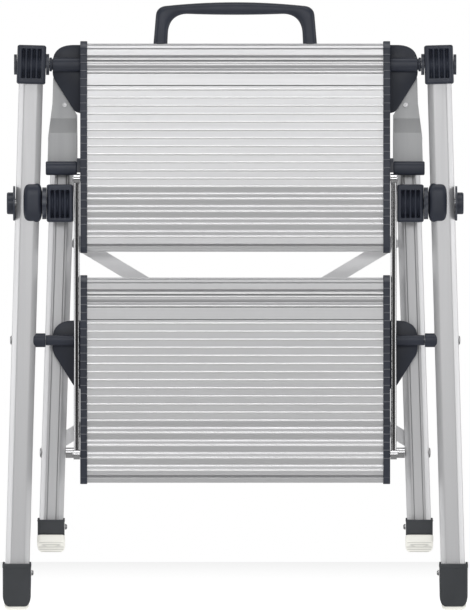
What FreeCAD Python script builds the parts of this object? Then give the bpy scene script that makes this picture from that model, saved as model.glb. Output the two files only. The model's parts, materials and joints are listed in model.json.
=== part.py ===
import FreeCAD, Part
import os
import re
import Sketcher

# A two-step aluminium folding step ladder with a carrying handle, folded flat.
# +Z is up, +X is to the right of someone facing the treads, +Y is away from them.
# The origin is on the floor, midway between the front feet and midway through the folded depth.
# The treads' walking faces look towards -Y when the ladder is folded.

os.makedirs("parts", exist_ok=True)
doc = FreeCAD.newDocument("step_ladder")
sheet = doc.addObject("Spreadsheet::Sheet", "dims")

# ---------------------------------------------------------------- driving dimensions
# word, millimetres or degrees, what it is
SIZES = [
    ("leg_width", 25.0, "leg tube, seen from the front"),
    ("leg_depth", 20.0, "leg tube, seen from the side"),
    ("leg_bevel", 5.6, "bevel along the tube's corners"),
    ("leg_wall", 1.8, "tube wall"),
    ("axle_height", 568.0, "top tread's axle above the floor"),
    ("front_splay", 1.6, "front legs lean outwards going down"),
    ("saddle_wall", 2.74, "saddle between the collar and the front leg"),
    ("saddle_over", 3.96, "saddle past the middle of the front leg"),
    ("centre_drop", 144.5, "top axle down to the centre pivot"),
    ("lower_drop", 287.0, "top axle down to the lower tread's axle"),
    ("front_lean", 37.0, "front legs' lean when open, cut into the soles"),
    ("rear_splay", 1.8, "rear legs lean outwards going down"),
    ("wing_gap", 1.5, "wing to the rear leg behind it"),
    ("arm_gap", 3.5, "side cap to the arm"),
    ("arm_slack", 0.53, "arm's inner wall to the rear leg"),
    ("arm_room", 2.77, "rear leg to the arm's outer wall"),
    ("clamp_side", 2.4, "clamp outside the rear leg"),
    ("head_wall", 2.4, "head beside the leg"),
    ("head_cover", 5.0, "head in front of and behind the leg"),
    ("foot_wall", 2.5, "front foot beside the leg"),
    ("foot_cover", 3.5, "front foot in front of and behind the leg"),
    ("rear_foot_wall", 1.8, "rear foot beside the leg"),
    ("rear_foot_cover", 7.0, "rear foot in front of and behind the leg"),
    ("sleeve_long", 10.1, "outer lower sleeve beside the leg"),
    ("tread_gap", 26.9, "top panel's nosing to the lower panel's rear edge"),
    ("brace_drop", 38.5, "centre pivot down to the brace's upper end"),
    ("brace_rise", 92.0, "rear leg's lower end up to the brace's lower end"),
    ("spacer_rise", 77.7, "rear leg's lower end up to the brace spacer"),
    ("rod_gap", 0.35, "side cap to the link rod's eye"),
    ("rear_lean", 20.0, "rear legs' lean when open, cut into the soles"),
    ("rear_top_rise", 66.0, "centre pivot up to the rear leg's guide pin"),
    ("open_turn", 53.0, "treads turn from folded to open"),
    ("rear_turn", 57.0, "rear frame turns from folded to open"),
    ("guide_radius", 3.0, "guide pin"),
    ("guide_gap", 0.7, "guide slot past the guide pin"),
    ("rear_leg_low", 86.0, "rear leg's lower end above the floor"),
    ("panel_half", 154.0, "half of a tread panel's width"),
    ("panel_front", 11.4, "walking face in front of the axle"),
    ("panel_back", 12.0, "underside behind the axle"),
    ("panel_wall", 1.8, "skins and webs of the panel"),
    ("panel_depth", 216.5, "top panel, rear edge to nosing"),
    ("lower_panel_depth", 213.5, "lower panel, rear edge to nosing"),
    ("top_rear", 21.6, "top panel's rear edge above its axle"),
    ("rib_pitch", 8.42, "fine ribs of the walking face"),
    ("rib_width", 1.3, "fine rib"),
    ("rib_rise", 0.9, "fine rib above the face"),
    ("rib_first", 46.8, "rear edge to the first fine rib"),
    ("nosing_first", 150.3, "rear edge to the first nosing groove"),
    ("nosing_pitch", 13.0, "nosing grooves"),
    ("nosing_groove", 4.6, "nosing groove's width"),
    ("groove_deep", 1.6, "depth of the walking face's grooves"),
    ("cap_thick", 7.2, "side cap of a tread"),
    ("cap_front", 14.0, "side cap in front of the axle"),
    ("cap_back", 14.0, "side cap behind the axle"),
    ("cap_over_rear", 2.5, "side cap past the panel's rear edge"),
    ("cap_over_nose", 1.4, "side cap past the nosing"),
    ("wing_reach", 28.9, "wing outwards from the side cap"),
    ("wing_up", 20.6, "wing above the axle"),
    ("wing_side", 12.8, "straight outer side above and below the axle"),
    ("wing_down", 52.0, "wing's tip below the axle"),
    ("wing_tip", 7.2, "wing's width near its tip"),
    ("wing_front", 7.5, "wing's front face behind the axle"),
    ("wing_thick", 5.0, "wing plate"),
    ("pin_radius", 4.0, "axle pins"),
    ("run_gap", 0.06, "radial running clearance"),
    ("face_gap", 0.3, "gap between faces that turn past each other"),
    ("sleeve_radius", 7.25, "top axle sleeve and outer lower sleeve"),
    ("tube_radius", 5.35, "lower tread's axle tube"),
    ("head_rise", 20.2, "ribbed head above the axle"),
    ("head_fall", 20.6, "ribbed head below the axle"),
    ("slot_width", 3.0, "groove between two ribs of a head or clamp"),
    ("slot_pitch", 5.2, "grooves of a head or clamp"),
    ("slot_deep", 3.6, "depth of those grooves"),
    ("disc_radius", 11.0, "discs beside the heads"),
    ("disc_thick", 3.2, "discs beside the heads"),
    ("saddle_half", 20.0, "half of the saddle's height"),
    ("saddle_cover", 4.0, "saddle's wall in front of the leg"),
    ("collar_radius", 16.6, "collar of the centre pivot"),
    ("collar_thick", 4.4, "collar of the centre pivot"),
    ("flange_radius", 18.0, "flange outside the leg"),
    ("flange_thick", 2.0, "flange outside the leg"),
    ("button_radius", 11.4, "button outside the flange"),
    ("button_long", 6.6, "button outside the flange"),
    ("centre_pin_radius", 5.0, "centre pivot's pin"),
    ("clamp_half", 19.6, "half of the clamp's height"),
    ("clamp_front", 12.0, "clamp in front of the pivot"),
    ("clamp_wall", 4.0, "clamp behind the rear leg"),
    ("foot_top", 48.5, "front foot's upper edge above the floor"),
    ("sole_thick", 3.5, "front sole"),
    ("rear_foot_top", 94.0, "rear foot's upper edge above the floor"),
    ("rear_sole_low", 58.7, "lowest edge of the rear sole above the floor"),
    ("rear_sole_thick", 7.4, "rear sole"),
    ("rivet_radius", 4.7, "rivet heads"),
    ("rivet_rise", 1.8, "rivet heads"),
    ("brace_wide", 14.0, "crossing brace strips"),
    ("brace_thick", 1.8, "crossing brace strips"),
    ("spacer_radius", 5.5, "brace spacer"),
    ("spacer_long", 8.6, "brace spacer"),
    ("arm_drop", 108.0, "top axle down to the arm's knuckle"),
        ("arm_wall", 1.4, "arm's side walls"),
    ("arm_web", 2.4, "arm's front web"),
    ("arm_step", 5.4, "arm's upper part steps back by this"),
    ("arm_rise", 94.5, "arm's top above its knuckle"),
    ("arm_depth", 46.0, "arm's side walls, front to back"),
    ("rod_radius", 3.0, "link rod"),
    ("rod_front", 11.0, "link rod's axis in front of the axles"),
    ("rod_drop", 119.0, "axle down to the link rod's pivot"),
    ("eye_radius", 5.0, "link rod's eye"),
    ("eye_half", 3.25, "half of the eye's width"),
    ("rod_pin_radius", 2.5, "link rod's pivot pin"),
    ("handle_half", 85.1, "half of the handle's width at its feet"),
    ("handle_foot", 14.6, "handle's foot, seen from the front"),
    ("handle_lean", 3.4, "handle's sides lean in by this"),
    ("handle_high", 43.2, "handle above the panel's rear edge"),
    ("handle_grip", 11.6, "grip, seen from the front"),
    ("handle_depth", 22.0, "handle, front to back"),
    ("handle_inside", 18.0, "radius inside the handle's corners"),
    ("screw_radius", 2.5, "handle screws"),
]
for line, (word, number, note) in enumerate(SIZES, start=1):
    sheet.set("A%d" % line, note)
    sheet.set("B%d" % line, str(number))
    sheet.setAlias("B%d" % line, word)
doc.recompute()
WORDS = {word for word, number, note in SIZES}

# sizes and places that follow from the ones above, from the middle of a tread outwards
FOLLOWS = {
    "cap_out": "(panel_half + cap_thick)",
    "rod_side": "(cap_out + rod_gap + eye_half)",
    "arm_inner": "(cap_out + arm_gap)",
    "arm_outer": "(arm_inner + 2 * arm_wall + arm_slack + leg_width + arm_room)",
    "knuckle_inner": "(arm_inner - 0.1)",
    "knuckle_outer": "(arm_outer + 1.4)",
    "rear_half": "(arm_inner + arm_wall + arm_slack + leg_width / 2"
                 " + rear_top_rise * tan(rear_splay * 1deg))",
    "rear_back": "(wing_front + wing_thick + wing_gap + leg_depth / 2)",
    "clamp_width": "(leg_width + clamp_side + 0.1)",
    "saddle_inner": "(rear_half + leg_width / 2 + clamp_side + face_gap + collar_thick)",
    "front_half": "(saddle_inner + saddle_wall + leg_width / 2 - centre_drop * tan(front_splay * 1deg))",
    "saddle_outer": "(front_half + centre_drop * tan(front_splay * 1deg) + saddle_over)",
    "lower_sleeve_inner": "(front_half + lower_drop * tan(front_splay * 1deg)"
                          " - leg_width / 2 - sleeve_long)",
    "head_width": "(leg_width + 2 * head_wall)",
    "head_depth": "(leg_depth + 2 * head_cover)",
    "foot_width": "(leg_width + 2 * foot_wall)",
    "foot_depth": "(leg_depth + 2 * foot_cover)",
    "rear_foot_width": "(leg_width + 2 * rear_foot_wall)",
    "rear_foot_depth": "(leg_depth + 2 * rear_foot_cover)",
    "brace_high": "(axle_height - centre_drop - brace_drop)",
    "brace_low": "(rear_leg_low + brace_rise)",
    "spacer_height": "(rear_leg_low + spacer_rise)",
    "lower_rear": "(lower_drop - panel_depth + top_rear - tread_gap)",
}


SLOT_STEPS = 20

# ---------------------------------------------------------------- helpers
def ex(text):
    """An expression on the sheet's words, with the ones that follow written out."""
    text = str(text)
    while any(word in FOLLOWS for word in re.findall(r"[a-z_]+", text)):
        text = re.sub(r"[a-z_]+", lambda m: FOLLOWS.get(m.group(), m.group()), text)
    return re.sub(r"[a-z_]+", lambda m: "dims." + m.group() if m.group() in WORDS else m.group(), text)


def bind(item, name, text):
    item.setExpression(name, ex(text))


def worth(text):
    """The number that an expression gives now."""
    value = sheet.evalExpression(ex(text))
    return float(getattr(value, "Value", value))


def new(kind, name):
    item = doc.addObject(kind, name)
    item.Label = name
    return item


def place(item, x="0", y="0", z="0", turn="0"):
    """Put an item at a point, turned about the Y direction by an angle in degrees."""
    text = "create(<<placement>>; vector(%s; %s; %s); create(<<rotation>>; vector(0; 1; 0); (%s) * 1deg))"
    item.setExpression("Placement", text % (ex(x), ex(y), ex(z), ex(turn)))
    return item


def block(name, x, y, z):
    """A box between two values along each direction."""
    item = new("Part::Box", name)
    for side, (low, high), axis in (("Length", x, "x"), ("Width", y, "y"), ("Height", z, "z")):
        bind(item, side, "(%s) - (%s)" % (high, low))
        bind(item, "Placement.Base." + axis, low)
    return item


def round_bar(name, radius, x, y, z):
    """A cylinder along X between two values."""
    item = new("Part::Cylinder", name)
    bind(item, "Radius", radius)
    bind(item, "Height", "(%s) - (%s)" % (x[1], x[0]))
    place(item, x[0], y, z, "90")
    return item


def join(name, *items):
    item = new("Part::MultiFuse", name)
    item.Shapes = list(items)
    item.Refine = True
    return item


def cut(name, base, *tools):
    item = new("Part::Cut", name)
    item.Base = base
    item.Tool = tools[0] if len(tools) == 1 else join(name + "_tools", *tools)
    item.Refine = True
    return item


def common(name, first, second):
    item = new("Part::Common", name)
    item.Base = first
    item.Tool = second
    return item


def turned(name, radius, near, far, x, z):
    """A cylinder along Y between two values."""
    item = new("Part::Cylinder", name)
    along_y = FreeCAD.Rotation(FreeCAD.Vector(1, 0, 0), -90)
    item.Placement = FreeCAD.Placement(FreeCAD.Vector(0, 0, 0), along_y)
    bind(item, "Radius", radius)
    bind(item, "Height", "(%s) - (%s)" % (far, near))
    for axis, text in zip("xyz", (x, near, z)):
        bind(item, "Placement.Base." + axis, text)
    return item


def mirror(name, source):
    item = new("Part::Mirroring", name)
    item.Source = source
    item.Normal = FreeCAD.Vector(1, 0, 0)
    return item


def group(name, *items):
    item = new("Part::Compound", name)
    item.Links = list(items)
    return item


PLANES = {"XY": ("XY_Plane", 2), "XZ": ("XZ_Plane", 1), "YZ": ("YZ_Plane", 0)}


def prism(name, plane, points, low, high, rounds=None, edge_round=None):
    """A PartDesign body: a closed outline of corner points padded between two values.

    rounds gives the radius at the corners' long edges, as {corner number: radius};
    edge_round rounds every edge of the two flat ends.
    """
    body = new("PartDesign::Body", name)
    role, axis = PLANES[plane]
    sketch = body.newObject("Sketcher::SketchObject", name + "_outline")
    origin_plane = [item for item in body.Origin.OriginFeatures if item.Role == role][0]
    sketch.AttachmentSupport = (origin_plane, [""])
    sketch.MapMode = "FlatFace"
    corners = [FreeCAD.Vector(worth(across), worth(up), 0) for across, up in points]
    count = len(corners)
    for number in range(count):
        sketch.addGeometry(Part.LineSegment(corners[number], corners[(number + 1) % count]), False)
    for number in range(count):
        sketch.addConstraint(Sketcher.Constraint("Coincident", number, 2, (number + 1) % count, 1))
    for number, point in enumerate(points):
        for kind, value, text in zip(("DistanceX", "DistanceY"), corners[number], point):
            row = sketch.addConstraint(Sketcher.Constraint(kind, -1, 1, number, 1, value))
            sketch.setExpression("Constraints[%d]" % row, ex(text))
    start = "-(%s)" % high if plane == "XZ" else low
    sketch.setExpression("AttachmentOffset.Base.z", ex(start))
    pad = body.newObject("PartDesign::Pad", name + "_pad")
    pad.Profile = sketch
    bind(pad, "Length", "(%s) - (%s)" % (high, low))
    doc.recompute()
    tip = pad
    along = [FreeCAD.Vector(1, 0, 0), FreeCAD.Vector(0, 1, 0), FreeCAD.Vector(0, 0, 1)][axis]
    for corner, radius in (rounds or {}).items():
        at = corners[corner]
        flat = {0: (1, 2), 1: (0, 2), 2: (0, 1)}[axis]
        edge_name = None
        for number, edge in enumerate(tip.Shape.Edges, start=1):
            if len(edge.Vertexes) != 2:
                continue
            first = edge.Vertexes[0].Point
            last = edge.Vertexes[1].Point
            parallel = abs((last - first).normalize().dot(along)) > 0.999
            near = abs(first[flat[0]] - at.x) < 1e-4 and abs(first[flat[1]] - at.y) < 1e-4
            if parallel and near:
                edge_name = "Edge%d" % number
        fillet = body.newObject("PartDesign::Fillet", "%s_round_%d" % (name, corner))
        fillet.Base = (tip, [edge_name])
        bind(fillet, "Radius", radius)
        doc.recompute()
        tip = fillet
    if edge_round:
        ends = []
        for number, face in enumerate(tip.Shape.Faces, start=1):
            if face.Surface.TypeId == "Part::GeomPlane" and abs(face.normalAt(0, 0).dot(along)) > 0.999:
                ends.append("Face%d" % number)
        fillet = body.newObject("PartDesign::Fillet", name + "_edges")
        fillet.Base = (tip, ends)
        bind(fillet, "Radius", edge_round)
        doc.recompute()
    return body


NODES = []


def keep(*items):
    NODES.extend(items)


def pair(name, right_side):
    """The right-hand piece and its mirror image, as two nodes."""
    right_side.Label = name + "_right"
    keep(right_side, mirror(name + "_left", right_side))


def both(name, right_side):
    """The right-hand piece and its mirror image, as one node of separate solids."""
    keep(group(name, right_side, mirror(name + "_mirror", right_side)))


def tube_section(inset):
    """Corner points of the leg tube's bevelled section, drawn in by an inset."""
    wide = "(leg_width / 2 - %s)" % inset
    deep = "(leg_depth / 2 - %s)" % inset
    bevel = "(leg_bevel - 0.586 * %s)" % inset
    return [
        (wide + " - " + bevel, "-" + deep),
        (wide, "-" + deep + " + " + bevel),
        (wide, deep + " - " + bevel),
        (wide + " - " + bevel, deep),
        ("-" + wide + " + " + bevel, deep),
        ("-" + wide, deep + " - " + bevel),
        ("-" + wide, "-" + deep + " + " + bevel),
        ("-" + wide + " + " + bevel, "-" + deep),
    ]


# ---------------------------------------------------------------- front frame
FRONT = ("front_half", "0", "axle_height", "-front_splay")
REAR = ("rear_half", "rear_back", "axle_height - centre_drop", "-rear_splay")
FRONT_LOW = "-(axle_height - sole_thick - leg_depth * 1.1)"
CENTRE_Z = "axle_height - centre_drop"
LOWER_Z = "axle_height - lower_drop"


def front_x(drop):
    """The front leg's axis from the centre, at a drop below the top axle."""
    return "(front_half + (%s) * tan(front_splay * 1deg))" % drop


def rear_x(height):
    """The rear leg's axis from the centre, at a height above the floor."""
    return "(rear_half + (axle_height - centre_drop - (%s)) * tan(rear_splay * 1deg))" % height


def leg_solid(name, low, high, where):
    return place(prism(name, "XY", tube_section("0"), low, high), *where)


front_outer = leg_solid("front_leg_outer", FRONT_LOW, "head_rise - 4", FRONT)
front_inner = prism("front_leg_inner", "XY", tube_section("leg_wall"), FRONT_LOW + " - 1", "head_rise - 3")
place(front_inner, *FRONT)
top_hole = round_bar(
    "top_pin_hole", "pin_radius", ("front_half - 40", "front_half + 10"), "0", "axle_height")
centre_hole = round_bar(
    "centre_pin_hole", "centre_pin_radius",
    (front_x("centre_drop") + " - 40", front_x("centre_drop") + " + 30"),
    "0", CENTRE_Z)
lower_hole = round_bar(
    "lower_pin_hole", "pin_radius", (front_x("lower_drop") + " - 40", front_x("lower_drop") + " + 30"),
    "0", LOWER_Z)
pair("front_leg", cut("front_leg_tube", front_outer, front_inner, top_hole, centre_hole, lower_hole))

# ribbed plastic head on the leg's top, with a groove between each two ribs
head_body = prism(
    "head_body", "XZ",
    [("head_width / 2", "-head_fall"), ("head_width / 2", "head_rise"),
     ("-head_width / 2", "head_rise"), ("-head_width / 2", "-head_fall")],
    "-head_depth / 2", "head_depth / 2", {1: "2.5", 2: "2.5"}, "1.2")
place(head_body, *FRONT)
head_cuts = []
for number in range(4):
    for side, sign in (("front", "-1"), ("back", "1")):
        middle = "(%s * slot_pitch)" % (number - 1.5)
        near = "head_depth / 2 - slot_deep"
        far = "head_depth / 2 + 1"
        span = ("-(%s)" % far, "-(%s)" % near) if side == "front" else (near, far)
        slot = prism(
            "head_slot_%s_%d" % (side, number), "XZ",
            [(middle + " + slot_width / 2", "-head_fall + 4"),
             (middle + " + slot_width / 2", "head_rise - 5"),
             (middle + " - slot_width / 2", "head_rise - 5"),
             (middle + " - slot_width / 2", "-head_fall + 4")],
            *span)
        head_cuts.append(place(slot, *FRONT))
pair("front_head", cut("head", head_body, front_outer, top_hole, *head_cuts))

disc_outer = round_bar(
    "disc_outer", "disc_radius - 0.4",
    ("front_half + head_width / 2 + 0.3", "front_half + head_width / 2 + disc_thick"), "0", "axle_height")
disc_inner_solid = round_bar(
    "disc_inner_solid", "disc_radius",
    ("front_half - head_width / 2 - disc_thick - 0.3", "front_half - head_width / 2 - 0.3"),
    "0", "axle_height")
both("head_discs", group("head_discs_right", disc_outer, cut("disc_inner", disc_inner_solid, top_hole)))

PIN_END = "panel_half + 1"
both("top_axle_pins", round_bar(
    "top_axle_pin", "pin_radius", (PIN_END, "front_half + 8"), "0", "axle_height"))

# centre pivot: saddle on the inner half of the leg, collar, flange, button and pin
saddle_body = prism(
    "saddle_body", "XZ",
    [("saddle_inner", CENTRE_Z + " - saddle_half"), ("saddle_outer", CENTRE_Z + " - saddle_half"),
     ("saddle_outer", CENTRE_Z + " + saddle_half"), ("saddle_inner", CENTRE_Z + " + saddle_half")],
    "-leg_depth / 2 - saddle_cover", "leg_depth / 2 + saddle_cover",
    {1: "9", 2: "9", 0: "3", 3: "3"}, "2")
pair("centre_saddle", cut("saddle", saddle_body, front_outer, centre_hole))
collar_solid = round_bar(
    "collar_solid", "collar_radius", ("saddle_inner - collar_thick", "saddle_inner"), "0", CENTRE_Z)
both("centre_collars", cut("centre_collar", collar_solid, centre_hole))
FLANGE_X = front_x("centre_drop") + " + leg_width / 2 + 0.5"
both("centre_flanges", round_bar(
    "centre_flange", "flange_radius", (FLANGE_X, FLANGE_X + " + flange_thick"), "0", CENTRE_Z))
button = new("Part::Fillet", "centre_button")
button.Base = round_bar(
    "centre_button_solid", "button_radius",
    (FLANGE_X + " + flange_thick", FLANGE_X + " + flange_thick + button_long"), "0", CENTRE_Z)
doc.recompute()
BUTTON_ROUND = 1.6
rim = max(range(len(button.Base.Shape.Edges)), key=lambda n: button.Base.Shape.Edges[n].CenterOfMass.x)
button.Edges = [(rim + 1, BUTTON_ROUND, BUTTON_ROUND)]
both("centre_buttons", button)
CLAMP_OUT = "(saddle_inner - collar_thick - face_gap)"
CLAMP_IN = "(saddle_inner - collar_thick - face_gap - clamp_width)"
both("centre_pins", round_bar(
    "centre_pin", "centre_pin_radius", (CLAMP_IN + " + 3", FLANGE_X), "0", CENTRE_Z))

# lower axle: pin, outer sleeve seated on the leg, rivet head outside
sleeve_solid = round_bar(
    "lower_sleeve_solid", "sleeve_radius", ("lower_sleeve_inner", front_x("lower_drop")), "0", LOWER_Z)
both("lower_sleeves", cut("lower_sleeve", sleeve_solid, front_outer, lower_hole))
LOWER_OUT = front_x("lower_drop") + " + leg_width / 2"
both("lower_axle_pins", round_bar(
    "lower_axle_pin", "pin_radius", (PIN_END, LOWER_OUT + " - 0.3"), "0", LOWER_Z))
both("lower_rivets", round_bar(
    "lower_rivet", "rivet_radius", (LOWER_OUT + " + 0.2", LOWER_OUT + " + rivet_rise"), "0", LOWER_Z))

# front feet, upright, with soles cut to lie flat when the ladder is open
FOOT_X = front_x("axle_height - foot_top / 2")


def sole_line(depth, lean, base, sign):
    """Height of a sole's plane at the front and back of a foot."""
    rise = "(%s) * tan(%s * 1deg)" % (depth, lean)
    return (base, "%s + %s" % (base, rise)) if sign > 0 else ("%s + %s" % (base, rise), base)


front_low, back_low = sole_line("foot_depth", "front_lean", "0", 1)
foot_body = prism(
    "foot_body", "YZ",
    [("-foot_depth / 2", front_low + " + sole_thick"), ("foot_depth / 2", back_low + " + sole_thick"),
     ("foot_depth / 2", "foot_top"), ("-foot_depth / 2", "foot_top")],
    FOOT_X + " - foot_width / 2", FOOT_X + " + foot_width / 2", {0: "3", 3: "1.5", 2: "1.5"}, "2.5")
pair("front_foot", cut("foot", foot_body, front_outer))
sole_body = prism(
    "front_sole", "YZ",
    [("-foot_depth / 2 + 1", front_low), ("foot_depth / 2 - 1", back_low + " - 2 * tan(front_lean * 1deg)"),
     ("foot_depth / 2 - 1", back_low + " + sole_thick - 1 * tan(front_lean * 1deg)"),
     ("-foot_depth / 2 + 1", front_low + " + sole_thick + 1 * tan(front_lean * 1deg)")],
    FOOT_X + " - foot_width / 2 + 1.5", FOOT_X + " + foot_width / 2 - 1.5")
both("front_soles", cut("front_sole_cut", sole_body, foot_body))
both("front_foot_rivets", round_bar(
    "front_foot_rivet", "3", (FOOT_X + " - foot_width / 2 - 2.4", FOOT_X + " - foot_width / 2"),
    "0", "foot_top - 9.5"))

# ---------------------------------------------------------------- rear frame
REAR_LOW = "-(axle_height - centre_drop - rear_leg_low)"
rear_outer = leg_solid("rear_leg_outer", REAR_LOW, "rear_top_rise", REAR)
rear_inner = place(prism(
    "rear_leg_inner", "XY", tube_section("leg_wall"), REAR_LOW + " - 1", "rear_top_rise + 1"), *REAR)
GUIDE_Z = "(axle_height - centre_drop + rear_top_rise)"
guide_hole = round_bar(
    "guide_pin_hole", "guide_radius", ("arm_inner - 5", "arm_outer + 5"), "rear_back", GUIDE_Z)
pair("rear_leg", cut("rear_leg_tube", rear_outer, rear_inner, guide_hole))

# plastic plug in the rear leg's top, rounded about the guide pin that runs in the arm
plug_round = round_bar(
    "plug_round", "leg_depth / 2",
    (rear_x(GUIDE_Z) + " - leg_width / 2 + 0.6", rear_x(GUIDE_Z) + " + leg_width / 2 - 0.6"),
    "rear_back", GUIDE_Z)
plug_stem = place(prism(
    "plug_stem", "XY", tube_section("leg_wall"), "rear_top_rise - 25", "rear_top_rise"), *REAR)
pair("rear_top_plug", cut("top_plug", join("plug_solid", plug_round, plug_stem),
                          cut("rear_wall", rear_outer, rear_inner), guide_hole))
both("guide_pins", round_bar(
    "guide_pin", "guide_radius", ("arm_inner + 0.1", "arm_outer - 0.8"), "rear_back", GUIDE_Z))

# ribbed clamp round the rear leg, carrying the centre pivot in its front half
clamp_body = prism(
    "clamp_body", "XZ",
    [(CLAMP_IN, CENTRE_Z + " - clamp_half"), (CLAMP_OUT, CENTRE_Z + " - clamp_half"),
     (CLAMP_OUT, CENTRE_Z + " + clamp_half"), (CLAMP_IN, CENTRE_Z + " + clamp_half")],
    "-clamp_front", "rear_back + leg_depth / 2 + clamp_wall",
    {1: "3", 2: "3"}, "1.5")
clamp_hole = round_bar(
    "clamp_hole", "centre_pin_radius + run_gap", (CLAMP_IN + " + 2.5", CLAMP_OUT + " + 1"), "0", CENTRE_Z)
clamp_cuts = []
for number in range(4):
    middle = "(%s - clamp_width / 2 + %s * slot_pitch * 0.94 - 1)" % (CLAMP_OUT, number - 1.5)
    clamp_cuts.append(block(
        "clamp_slot_%d" % number, (middle + " - slot_width * 0.43", middle + " + slot_width * 0.43"),
        ("-clamp_front - 1", "-clamp_front + slot_deep"),
        (CENTRE_Z + " - clamp_half + 5", CENTRE_Z + " + clamp_half - 5")))
pair("centre_clamp", cut("clamp", clamp_body, rear_outer, clamp_hole, *clamp_cuts))

# crossing brace strips between the rear legs
BRACE_X = "(%s - leg_width / 2)"
X_HIGH = BRACE_X % rear_x("brace_high")
X_LOW = BRACE_X % rear_x("brace_low")
BRACE_RUN = "(%s + %s)" % (X_HIGH, X_LOW)
BRACE_LONG = "sqrt(%s * %s + (brace_high - brace_low) * (brace_high - brace_low))" % (BRACE_RUN, BRACE_RUN)
BRACE_TURN = "atan((brace_high - brace_low) / %s) / 1deg" % BRACE_RUN
strip = new("Part::Box", "brace_strip")
bind(strip, "Length", BRACE_LONG + " + 8")
bind(strip, "Width", "brace_thick")
bind(strip, "Height", "brace_wide")
place(strip, "%s + 4" % ("-" + X_LOW + " - 8"), "rear_back - 1.2 - brace_thick",
      "brace_low - brace_wide / 2 - 2.5", "-(%s)" % BRACE_TURN)
rear_outer_left = mirror("rear_leg_outer_left", rear_outer)
BRACE_MID = "(brace_low + (brace_high - brace_low) * %s / %s)" % (X_LOW, BRACE_RUN)
STRIP_FRONT = "(rear_back - 1.2 - brace_thick)"
rivet_hole = turned("brace_rivet_hole", "2.5", STRIP_FRONT + " - 2", "rear_back + 8", "0", BRACE_MID)
keep(cut("brace_front", strip, rear_outer, rear_outer_left, rivet_hole))
strip_back = mirror("brace_strip_back", strip)
bind(strip_back, "Placement.Base.y", "brace_thick + 2.4")
keep(cut("brace_back", strip_back, rear_outer, rear_outer_left, rivet_hole))
keep(join(
    "brace_rivet",
    turned("brace_rivet_shank", "2.5",
           STRIP_FRONT + " - 1", "rear_back + 1.2 + brace_thick + 1", "0", BRACE_MID),
    turned("brace_rivet_washer", "6", "rear_back - 1.2", "rear_back + 1.2", "0", BRACE_MID),
    turned("brace_rivet_head", "5", STRIP_FRONT + " - 1.4", STRIP_FRONT, "0", BRACE_MID)))

SPACER_X = rear_x("spacer_height")
both("brace_spacers", round_bar(
    "brace_spacer", "spacer_radius",
    (SPACER_X + " - leg_width / 2 - spacer_long", SPACER_X + " - leg_width / 2 - 0.2"),
    "rear_back", "spacer_height"))
both("brace_rivets", round_bar(
    "brace_outer_rivet", "rivet_radius + 0.6",
    (SPACER_X + " + leg_width / 2 + 0.2", SPACER_X + " + leg_width / 2 + rivet_rise"),
    "rear_back", "spacer_height"))

# rear feet, with thick pale soles cut to lie flat when the ladder is open
REAR_FOOT_X = rear_x("rear_foot_top - 8")
front_low, back_low = sole_line("rear_foot_depth", "rear_lean", "rear_sole_low", -1)
REAR_NEAR = "rear_back - rear_foot_depth / 2"
REAR_FAR = "rear_back + rear_foot_depth / 2"
rear_foot_body = prism(
    "rear_foot_body", "YZ",
    [(REAR_NEAR, front_low + " + rear_sole_thick"), (REAR_FAR, back_low + " + rear_sole_thick"),
     (REAR_FAR, "rear_foot_top"), (REAR_NEAR, "rear_foot_top")],
    REAR_FOOT_X + " - rear_foot_width / 2", REAR_FOOT_X + " + rear_foot_width / 2",
    {3: "2", 2: "2"}, "1.5")
pair("rear_foot", cut("rear_foot", rear_foot_body, rear_outer))
both("rear_soles", prism(
    "rear_sole", "YZ",
    [(REAR_NEAR, front_low), (REAR_FAR, back_low),
     (REAR_FAR, back_low + " + rear_sole_thick"), (REAR_NEAR, front_low + " + rear_sole_thick")],
    REAR_FOOT_X + " - rear_foot_width / 2 + 0.4", REAR_FOOT_X + " + rear_foot_width / 2 - 0.4",
    {0: "2.5", 1: "2.5"}))
both("rear_foot_rivets", round_bar(
    "rear_foot_rivet", "3",
    (REAR_FOOT_X + " - rear_foot_width / 2 - 2.4", REAR_FOOT_X + " - rear_foot_width / 2"),
    "rear_back", "rear_foot_top - 7.5"))


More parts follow.
